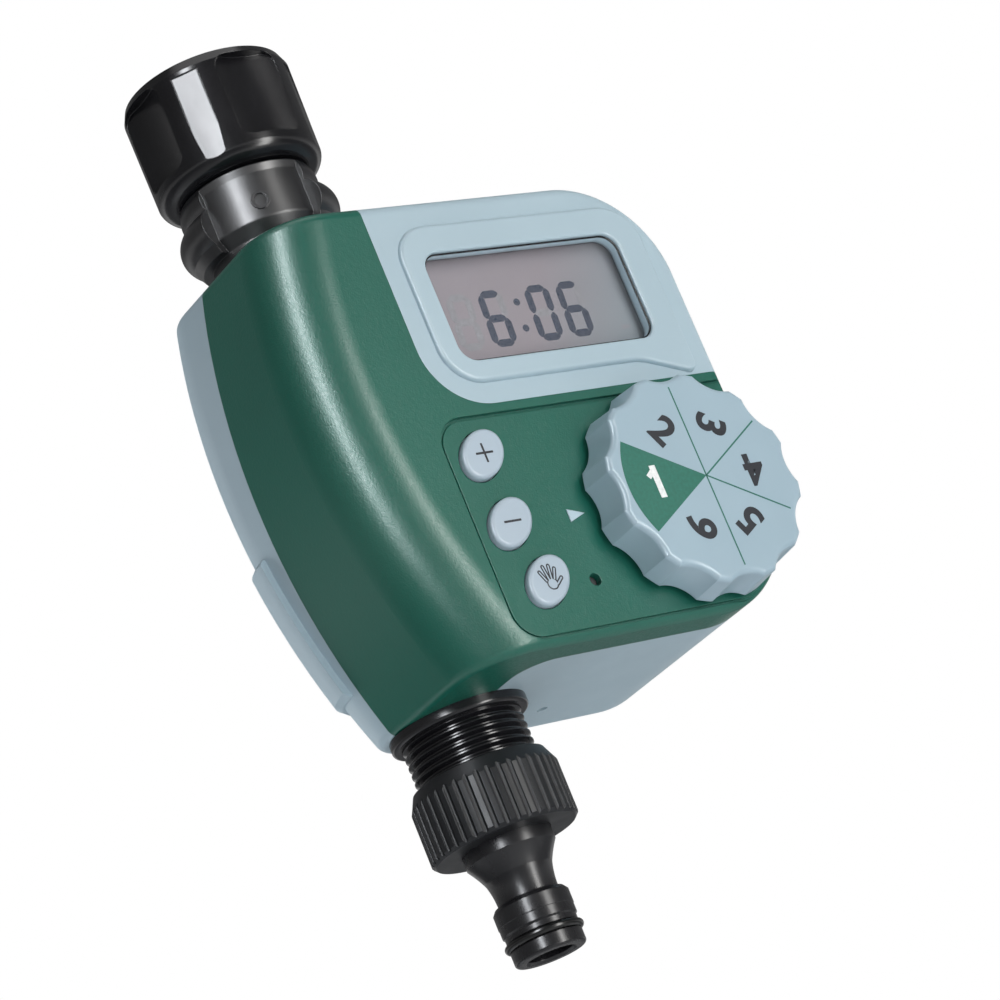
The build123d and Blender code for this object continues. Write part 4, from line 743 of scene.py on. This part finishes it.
class TIMER_OT_button_symbols(bpy.types.Operator):
    """Plus, minus and open hand on the push buttons"""

    bl_idname = "timer.button_symbols"
    bl_label = "Button symbols"

    ARM = 4.4 * MM
    STROKE = 0.5 * MM
    CORNER = 0.12 * MM
    HAND_LINE = 0.6                      # twice the outline's width, mm
    HAND = (                             # middle x and z, width and height in mm, lean in degrees
        (0.1, -1.15, 2.8, 2.7, 0), (-1.6, 0.7, 0.94, 3.2, -26), (-0.62, 1.35, 0.94, 3.8, -9),
        (0.45, 1.4, 0.94, 3.8, 7), (1.4, 0.95, 0.94, 3.3, 22), (2.0, -0.75, 0.94, 2.8, 50),
    )

    def execute(self, context):
        sizes = context.scene.timer_sizes
        ink = printed_ink("symbol_ink", context.scene.timer_colours.ink, 0.4)
        spots = {}
        for name in ("plus", "minus", "manual"):
            low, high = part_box(name + "_button")
            spots[name] = Vector(((low.x + high.x) / 2, low.y, (low.z + high.z) / 2))
        upright = self.stroke(spots["plus"], self.STROKE, self.ARM)
        level = self.stroke(spots["plus"], self.ARM, self.STROKE)
        combine(level, upright, "UNION")
        hand = self.hand(spots["manual"], 2 * sizes.print_height)
        minus = self.stroke(spots["minus"], self.ARM, self.STROKE)
        drawn = {"plus": level, "minus": minus, "manual": hand}
        for name, symbol in drawn.items():
            settle(symbol, name + "_symbol", ink, name + "_button")
        return {"FINISHED"}

    def stroke(self, place, width, height):
        """One straight stroke with rounded corners, half sunk in the button."""
        begin()
        bpy.ops.mesh.primitive_plane_add(size=1, rotation=FACING_FRONT, location=place)
        line = bpy.context.object
        edit(line)
        bpy.ops.transform.resize(value=(width, 1, height))
        bpy.ops.mesh.bevel(offset=self.CORNER, affect="VERTICES", segments=3)
        bpy.ops.object.mode_set(mode="OBJECT")
        modify(line, "SOLIDIFY", thickness=2 * bpy.context.scene.timer_sizes.print_height, offset=0)
        return line

    def capsule(self, place, size, lean, depth):
        """Bar with round ends, leaning to the right by an angle, as thick as depth."""
        roundness = 0.49                 # of its shorter side; at 0.5 its corner points would meet
        begin()
        bpy.ops.mesh.primitive_plane_add(size=1, rotation=FACING_FRONT, location=place)
        bar = bpy.context.object
        edit(bar)
        bpy.ops.transform.resize(value=(size[0], 1, size[1]))
        bpy.ops.mesh.bevel(offset=min(size) * roundness, affect="VERTICES", segments=6)
        bpy.ops.transform.rotate(value=-lean, orient_axis="Y", center_override=place)
        bpy.ops.object.mode_set(mode="OBJECT")
        modify(bar, "SOLIDIFY", thickness=depth, offset=0)
        return bar

    def palm_and_fingers(self, middle, shrink, depth):
        """Solid open hand, drawn in by shrink all round."""
        whole = None
        for x, z, width, height, lean in self.HAND:
            place = (middle[0] + x * MM, middle[1], middle[2] + z * MM)
            size = ((width - shrink) * MM, (height - shrink) * MM)
            bar = self.capsule(place, size, radians(lean), depth)
            if whole:
                combine(whole, bar, "UNION")
            else:
                whole = bar
        return whole

    def hand(self, middle, depth):
        """Outline of an open hand: palm, four fingers and thumb."""
        outer = self.palm_and_fingers(middle, 0, depth)
        inner = self.palm_and_fingers(middle, self.HAND_LINE, 2 * depth)
        combine(outer, inner, "DIFFERENCE")
        return outer


class TIMER_OT_knob_print(bpy.types.Operator):
    """Lines, green sector and numbers on the selector knob"""

    bl_idname = "timer.knob_print"
    bl_label = "Knob print"

    NUMBERS = 6                          # the first of them is white, in the green sector on the left
    NUMBER_RING = 0.62                   # where they stand, as a share of the print's radius
    LINE_ANGLES = (90, 30, -30, -90)     # degrees from the right; the sector's sides are the other two
    RIM_POINTS = 120
    FLAG_LEAN = 38                       # degrees
    FLAG_FROM_MIDDLE = (-0.95 * MM, 0, 2.35 * MM)
    FLAG_SIZE = (2.4 * MM, 1.25 * MM)

    def execute(self, context):
        sizes = context.scene.timer_sizes
        colours = context.scene.timer_colours
        joint = next(j for j in frame["joints"] if j["name"] == "selector_turn")
        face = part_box("selector_knob")[0].y
        centre = Vector((joint["pos_m"][0], face, joint["pos_m"][2]))
        green = printed_ink("sector_green", shade(colours.green, 1.25), 0.4)
        dark = printed_ink("number_ink", colours.ink, 0.4)
        white = printed_ink("number_white", PRINT_WHITE, 0.4)
        ruled = join([self.line(centre, angle) for angle in self.LINE_ANGLES])
        thicken(ruled, sizes.print_height)
        settle(ruled, "dial_lines", green, "selector")
        sector = self.sector(centre)
        thicken(sector, sizes.print_height)
        settle(sector, "dial_sector", green, "selector")
        numbers = [self.number(centre, count) for count in range(self.NUMBERS)]
        first = numbers.pop(0)
        flag = self.flag(first.location)
        for flat in (first, flag):
            flat.location.y -= sizes.print_height
            thicken(flat, sizes.print_height)
        combine(first, flag, "UNION")
        settle(first, "dial_first_number", white, "selector")
        others = join(numbers)
        thicken(others, sizes.print_height)
        settle(others, "dial_numbers", dark, "selector")
        return {"FINISHED"}

    def sector(self, centre):
        """Flat sixth of a disc on the left of the knob, where the first number stands."""
        radius = bpy.context.scene.timer_sizes.dial_radius
        begin()
        bpy.ops.mesh.primitive_circle_add(
            vertices=self.RIM_POINTS, radius=radius, fill_type="TRIFAN", rotation=FACING_FRONT,
            location=centre)
        sector = bpy.context.object
        edit(sector)
        edge = cos(pi / self.NUMBERS)
        pick(sector, "FACE", lambda p: (centre - p).x < edge * (centre - p).length)
        bpy.ops.mesh.delete(type="FACE")
        bpy.ops.object.mode_set(mode="OBJECT")
        return sector

    def number(self, centre, count):
        """Flat number, counted clockwise from the left, with its foot towards the middle."""
        sizes = bpy.context.scene.timer_sizes
        angle = radians(180 - 360 / self.NUMBERS * count)
        radius = sizes.dial_radius * self.NUMBER_RING
        spot = centre + radius * Vector((cos(angle), 0, sin(angle)))
        begin()
        bpy.ops.object.text_add(location=spot, rotation=(pi / 2, pi - angle, 0))
        text = bpy.context.object
        text.data.body = str(count + 1)
        text.data.size = sizes.number_height
        text.data.align_x = "CENTER"
        text.data.align_y = "CENTER"
        text.data.offset = sizes.number_weight
        bpy.ops.object.convert(target="MESH")
        return bpy.context.object

    def bar(self, middle, turn, length, width):
        """Flat stroke round its middle, turned anticlockwise from level."""
        begin()
        bpy.ops.mesh.primitive_plane_add(size=1, rotation=(pi / 2, -turn, 0), location=middle)
        stroke = bpy.context.object
        stroke.scale = (length, width, 1)
        bpy.ops.object.transform_apply(location=False, rotation=False, scale=True)
        return stroke

    def flag(self, spot):
        """Short stroke that makes the typeface's plain bar a figure 1."""
        return self.bar(spot + Vector(self.FLAG_FROM_MIDDLE), radians(self.FLAG_LEAN), *self.FLAG_SIZE)

    def line(self, centre, angle):
        """Thin line from the middle of the knob towards its rim."""
        sizes = bpy.context.scene.timer_sizes
        turn = radians(angle)
        middle = centre + sizes.dial_radius / 2 * Vector((cos(turn), 0, sin(turn)))
        return self.bar(middle, turn, sizes.dial_radius, sizes.line_width)


class TIMER_OT_inlet_thread(bpy.types.Operator):
    """Winding thread inside the inlet nut"""

    bl_idname = "timer.inlet_thread"
    bl_label = "Inlet thread"

    def execute(self, context):
        pitch = context.scene.timer_sizes.thread_pitch
        wall = 13.3 * MM                 # radius of the nut's bore
        depth = 1.15 * MM
        start = 0.66 * MM
        turns = 6
        half_foot = pitch * 0.36
        behind_wall = 0.02 * MM          # points further out than this are folded inwards
        begin()
        bpy.ops.mesh.primitive_circle_add(
            vertices=8, radius=half_foot, fill_type="NOTHING", rotation=FACING_FRONT,
            location=(wall, 0, start))
        ridge = context.object
        edit(ridge)
        bpy.ops.transform.resize(value=(depth / half_foot, 1, 1))
        pick(ridge, "VERT", lambda p: p.x > wall + behind_wall)
        bpy.ops.transform.translate(value=(-depth, 0, 0))
        bpy.ops.object.mode_set(mode="OBJECT")
        bpy.ops.object.transform_apply(location=True, rotation=True, scale=True)
        modify(ridge, "SCREW", screw_offset=pitch, iterations=turns, steps=64, render_steps=64, axis="Z")
        edit(ridge)
        bpy.ops.mesh.select_all(action="SELECT")
        bpy.ops.mesh.remove_doubles(threshold=SEAM)
        bpy.ops.mesh.fill_holes(sides=16)
        bpy.ops.mesh.normals_make_consistent(inside=False)
        bpy.ops.object.mode_set(mode="OBJECT")
        black = frame["nodes"]["inlet_nut"].data.materials[0]
        settle(ridge, "inlet_thread_ridge", black, "inlet_nut")
        return {"FINISHED"}


class TIMER_OT_filter_screen(bpy.types.Operator):
    """Wire screen in its rim, which keeps grit out of the valve"""

    bl_idname = "timer.filter_screen"
    bl_label = "Filter screen"

    def execute(self, context):
        low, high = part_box("inlet_filter")
        radius = (high.x - low.x) / 2
        rim = 1.5 * MM
        meshes = 26                      # from side to side
        wire = 0.26 * MM
        rounding = 0.2 * MM
        middle = (low + high) / 2
        begin()
        bpy.ops.mesh.primitive_grid_add(
            x_subdivisions=meshes, y_subdivisions=meshes, size=2 * radius, location=middle)
        screen = context.object
        edit(screen)
        pick(screen, "FACE", lambda p: (p - middle).length > radius - rim * 0.6)
        bpy.ops.mesh.delete(type="FACE")
        bpy.ops.object.mode_set(mode="OBJECT")
        modify(screen, "WIREFRAME", thickness=wire, use_even_offset=False)
        begin()
        bpy.ops.mesh.primitive_circle_add(vertices=64, radius=radius, fill_type="NOTHING", location=middle)
        ring = context.object
        edit(ring)
        bpy.ops.mesh.select_all(action="SELECT")
        bpy.ops.mesh.extrude_edges_move()
        inwards = (radius - rim) / radius
        bpy.ops.transform.resize(value=(inwards, inwards, 1))
        bpy.ops.object.mode_set(mode="OBJECT")
        modify(ring, "SOLIDIFY", thickness=high.z - low.z, offset=0)
        modify(ring, "BEVEL", width=rounding, segments=3, limit_method="ANGLE", angle_limit=radians(40))
        finish = satin_plastic("filter_white", FILTER_WHITE, 0, roughness=0.45)
        whole = join([ring, screen])
        settle(whole, "filter_screen", finish, BODY_OF["inlet_filter"])
        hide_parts("inlet_filter")
        return {"FINISHED"}


class TIMER_OT_valve_springs(bpy.types.Operator):
    """Copies of the valve springs with their seams closed, in place of the imported ones"""

    bl_idname = "timer.valve_springs"
    bl_label = "Valve springs"

    def execute(self, context):
        for node, joint in (("plunger_spring", "plunger_pull"), ("poppet_spring", "poppet_lift")):
            mesh = frame["nodes"][node].data.copy()
            coil = bpy.data.objects.new(node + "_coil", mesh)
            context.scene.collection.objects.link(coil)
            edit(coil)
            bpy.ops.mesh.select_all(action="SELECT")
            bpy.ops.mesh.remove_doubles(threshold=SEAM)
            bpy.ops.object.mode_set(mode="OBJECT")
            steel = frame["nodes"][node].data.materials[0]
            settle(coil, node + "_coil", steel, "case")
            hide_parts(node)
            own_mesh(coil)
        return {"FINISHED"}


# ---- stage ----

class TIMER_OT_stage(bpy.types.Operator):
    """Camera, two tall strips for the highlights, a top lamp, soft fills, pale floor and white room"""

    bl_idname = "timer.stage"
    bl_label = "Stage"

    # Name, azimuth and elevation in degrees, distance from the aim point, width and height in
    # metres, watts, colour, whether it lights surfaces, whether gloss shows it.
    LAMPS = (
        ("left_strip", 219, 24, 1.0, (0.18, 1.0), 15.0, (0.93, 0.96, 1.0), False, True),
        ("right_strip", 283, -8, 1.05, (0.26, 1.2), 12.5, (1.0, 0.99, 0.97), False, True),
        ("right_fill", 275, 8, 1.05, (0.6, 1.2), 7.6, (1.0, 0.99, 0.97), True, False),
        ("top_softbox", 270, 75, 1.1, (1.0, 0.6), 2.5, (1.0, 1.0, 1.0), True, True),
        ("back_fill", 108, 8, 1.0, (0.5, 0.9), 8.5, (0.95, 0.97, 1.0), True, False),
        ("low_fill", 236, -25, 1.0, (0.6, 0.6), 2.8, (0.97, 0.98, 1.0), True, False),
        ("side_fill", 355, 10, 1.0, (0.6, 0.9), 5.0, (1.0, 1.0, 1.0), True, False),
    )
    FLOOR_SIZE = 8                       # metres
    # The floor's share of plain white, and at what distances in metres it starts and is full.
    FLOOR_WHITE = (0.75, 1.0)
    FLOOR_REACH = (0.3, 2.0)
    # How bright gloss and clear plastic show the room, at directions that rise this much.
    ROOM_BRIGHT = (0.9, 0.16)
    ROOM_RISE = (-0.25, 0.3)

    def execute(self, context):
        stage = context.scene.timer_stage
        camera = self.camera(context, stage)
        for values in self.LAMPS:
            self.lamp(Vector(stage.aim), *values)
        self.floor(context, camera.location.z - stage.floor_drop)
        self.room(context.scene, stage.ambient)
        context.scene.view_settings.view_transform = "Standard"
        return {"FINISHED"}

    def camera(self, context, stage):
        """Camera that looks at the aim point from its azimuth and elevation, with its roll."""
        begin()
        bpy.ops.object.camera_add()
        camera = context.object
        camera.name = "camera"
        level = Matrix.Rotation(stage.azimuth, 4, "Z") @ Matrix.Rotation(pi / 2 - stage.elevation, 4, "X")
        turned = level @ Matrix.Rotation(stage.roll, 4, "Z")
        back = turned.to_3x3() @ Vector((0, 0, 1))
        camera.matrix_world = Matrix.Translation(Vector(stage.aim) + stage.distance * back) @ turned
        camera.data.sensor_width = 36
        camera.data.lens = stage.lens
        camera.data.clip_start = 0.02
        context.scene.camera = camera
        return camera

    def lamp(self, aim, name, azimuth, elevation, distance, size, power, colour, lights, shows):
        """Rectangular soft lamp at an angle round the aim point."""
        turn, rise = radians(azimuth), radians(elevation)
        direction = Vector((cos(turn) * cos(rise), sin(turn) * cos(rise), sin(rise)))
        begin()
        bpy.ops.object.light_add(type="AREA", location=aim + distance * direction)
        lamp = bpy.context.object
        lamp.name = name
        lamp.rotation_euler = direction.to_track_quat("Z", "Y").to_euler()
        lamp.data.shape = "RECTANGLE"
        lamp.data.size, lamp.data.size_y = size
        lamp.data.energy = power
        lamp.data.color = colour
        lamp.visible_diffuse = lights
        lamp.visible_glossy = shows

    def floor(self, context, height):
        """Pale floor that keeps a faint shadow and fades into the white room further out."""
        begin()
        bpy.ops.mesh.primitive_plane_add(size=self.FLOOR_SIZE, location=(0, 0, height))
        floor = context.object
        floor.name = "floor"
        finish = Finish("pale_floor", (0.86, 0.87, 0.88), 0.7)
        glow = finish.nodes.new("ShaderNodeEmission")
        mix = finish.nodes.new("ShaderNodeMixShader")
        path = finish.nodes.new("ShaderNodeLightPath")
        reach = finish.nodes.new("ShaderNodeVectorMath")
        reach.operation = "LENGTH"
        finish.links.new(finish.place, reach.inputs[0])
        share = finish.nodes.new("ShaderNodeMath")
        share.operation = "MULTIPLY"
        white = finish.between(reach.outputs["Value"], *self.FLOOR_WHITE, *self.FLOOR_REACH)
        finish.links.new(path.outputs["Is Camera Ray"], share.inputs[0])
        finish.links.new(white, share.inputs[1])
        finish.links.new(share.outputs[0], mix.inputs["Fac"])
        finish.links.new(finish.shader.outputs[0], mix.inputs[1])
        finish.links.new(glow.outputs[0], mix.inputs[2])
        finish.links.new(mix.outputs[0], finish.nodes["Material Output"].inputs["Surface"])
        floor.data.materials.append(finish.material)

    def room(self, scene, ambient):
        """White to the eye; gloss and clear plastic show it white below and dimmer above."""
        world = bpy.data.worlds.new("room")
        world.use_nodes = True
        scene.world = world
        nodes, links = world.node_tree.nodes, world.node_tree.links
        soft = nodes["Background"]
        soft.inputs["Color"].default_value = (0.93, 0.96, 1.0, 1)
        soft.inputs["Strength"].default_value = ambient
        white = nodes.new("ShaderNodeBackground")
        white.inputs["Color"].default_value = (1, 1, 1, 1)
        path = nodes.new("ShaderNodeLightPath")
        height = nodes.new("ShaderNodeSeparateXYZ")
        links.new(nodes.new("ShaderNodeTexCoord").outputs["Generated"], height.inputs[0])
        dim = map_range(nodes, links, height.outputs["Z"], *self.ROOM_BRIGHT, *self.ROOM_RISE)
        dim.interpolation_type = "SMOOTHSTEP"

        def greater(first, second):
            node = nodes.new("ShaderNodeMath")
            node.operation = "MAXIMUM"
            links.new(first, node.inputs[0])
            links.new(second, node.inputs[1])
            return node.outputs[0]

        camera = path.outputs["Is Camera Ray"]
        links.new(greater(camera, dim.outputs["Result"]), white.inputs["Strength"])
        shown = greater(camera, greater(path.outputs["Is Glossy Ray"], path.outputs["Is Transmission Ray"]))
        mix = nodes.new("ShaderNodeMixShader")
        links.new(shown, mix.inputs["Fac"])
        links.new(soft.outputs[0], mix.inputs[1])
        links.new(white.outputs[0], mix.inputs[2])
        links.new(mix.outputs[0], nodes["World Output"].inputs["Surface"])


# ---- panel and registration ----

STEPS = (
    TIMER_OT_stage, TIMER_OT_finish_case, TIMER_OT_finish_fittings, TIMER_OT_finish_display,
    TIMER_OT_finish_inside, TIMER_OT_display_digits, TIMER_OT_window_mask, TIMER_OT_button_symbols,
    TIMER_OT_knob_print, TIMER_OT_inlet_thread, TIMER_OT_filter_screen, TIMER_OT_valve_springs,
)


class TIMER_PT_sidebar(bpy.types.Panel):
    """Sizes, colours and building steps of the watering timer"""

    bl_label = "Watering timer"
    bl_space_type = "VIEW_3D"
    bl_region_type = "UI"
    bl_category = "Timer"

    def draw(self, context):
        for group in (context.scene.timer_colours, context.scene.timer_sizes, context.scene.timer_stage):
            box = self.layout.box()
            for name in group.bl_rna.properties.keys():
                if name not in ("rna_type", "name"):
                    box.prop(group, name)
        for step in STEPS:
            self.layout.operator(step.bl_idname)


CLASSES = (TimerColours, TimerSizes, TimerStage, *STEPS, TIMER_PT_sidebar)


def register():
    for cls in CLASSES:
        bpy.utils.register_class(cls)
    bpy.types.Scene.timer_colours = PointerProperty(type=TimerColours)
    bpy.types.Scene.timer_sizes = PointerProperty(type=TimerSizes)
    bpy.types.Scene.timer_stage = PointerProperty(type=TimerStage)


def unregister():
    del bpy.types.Scene.timer_stage
    del bpy.types.Scene.timer_sizes
    del bpy.types.Scene.timer_colours
    for cls in reversed(CLASSES):
        bpy.utils.unregister_class(cls)


def main():
    register()
    for step in STEPS:
        category, name = step.bl_idname.split(".")
        getattr(getattr(bpy.ops, category), name)()
    begin()


if __name__ == "__main__":
    main()
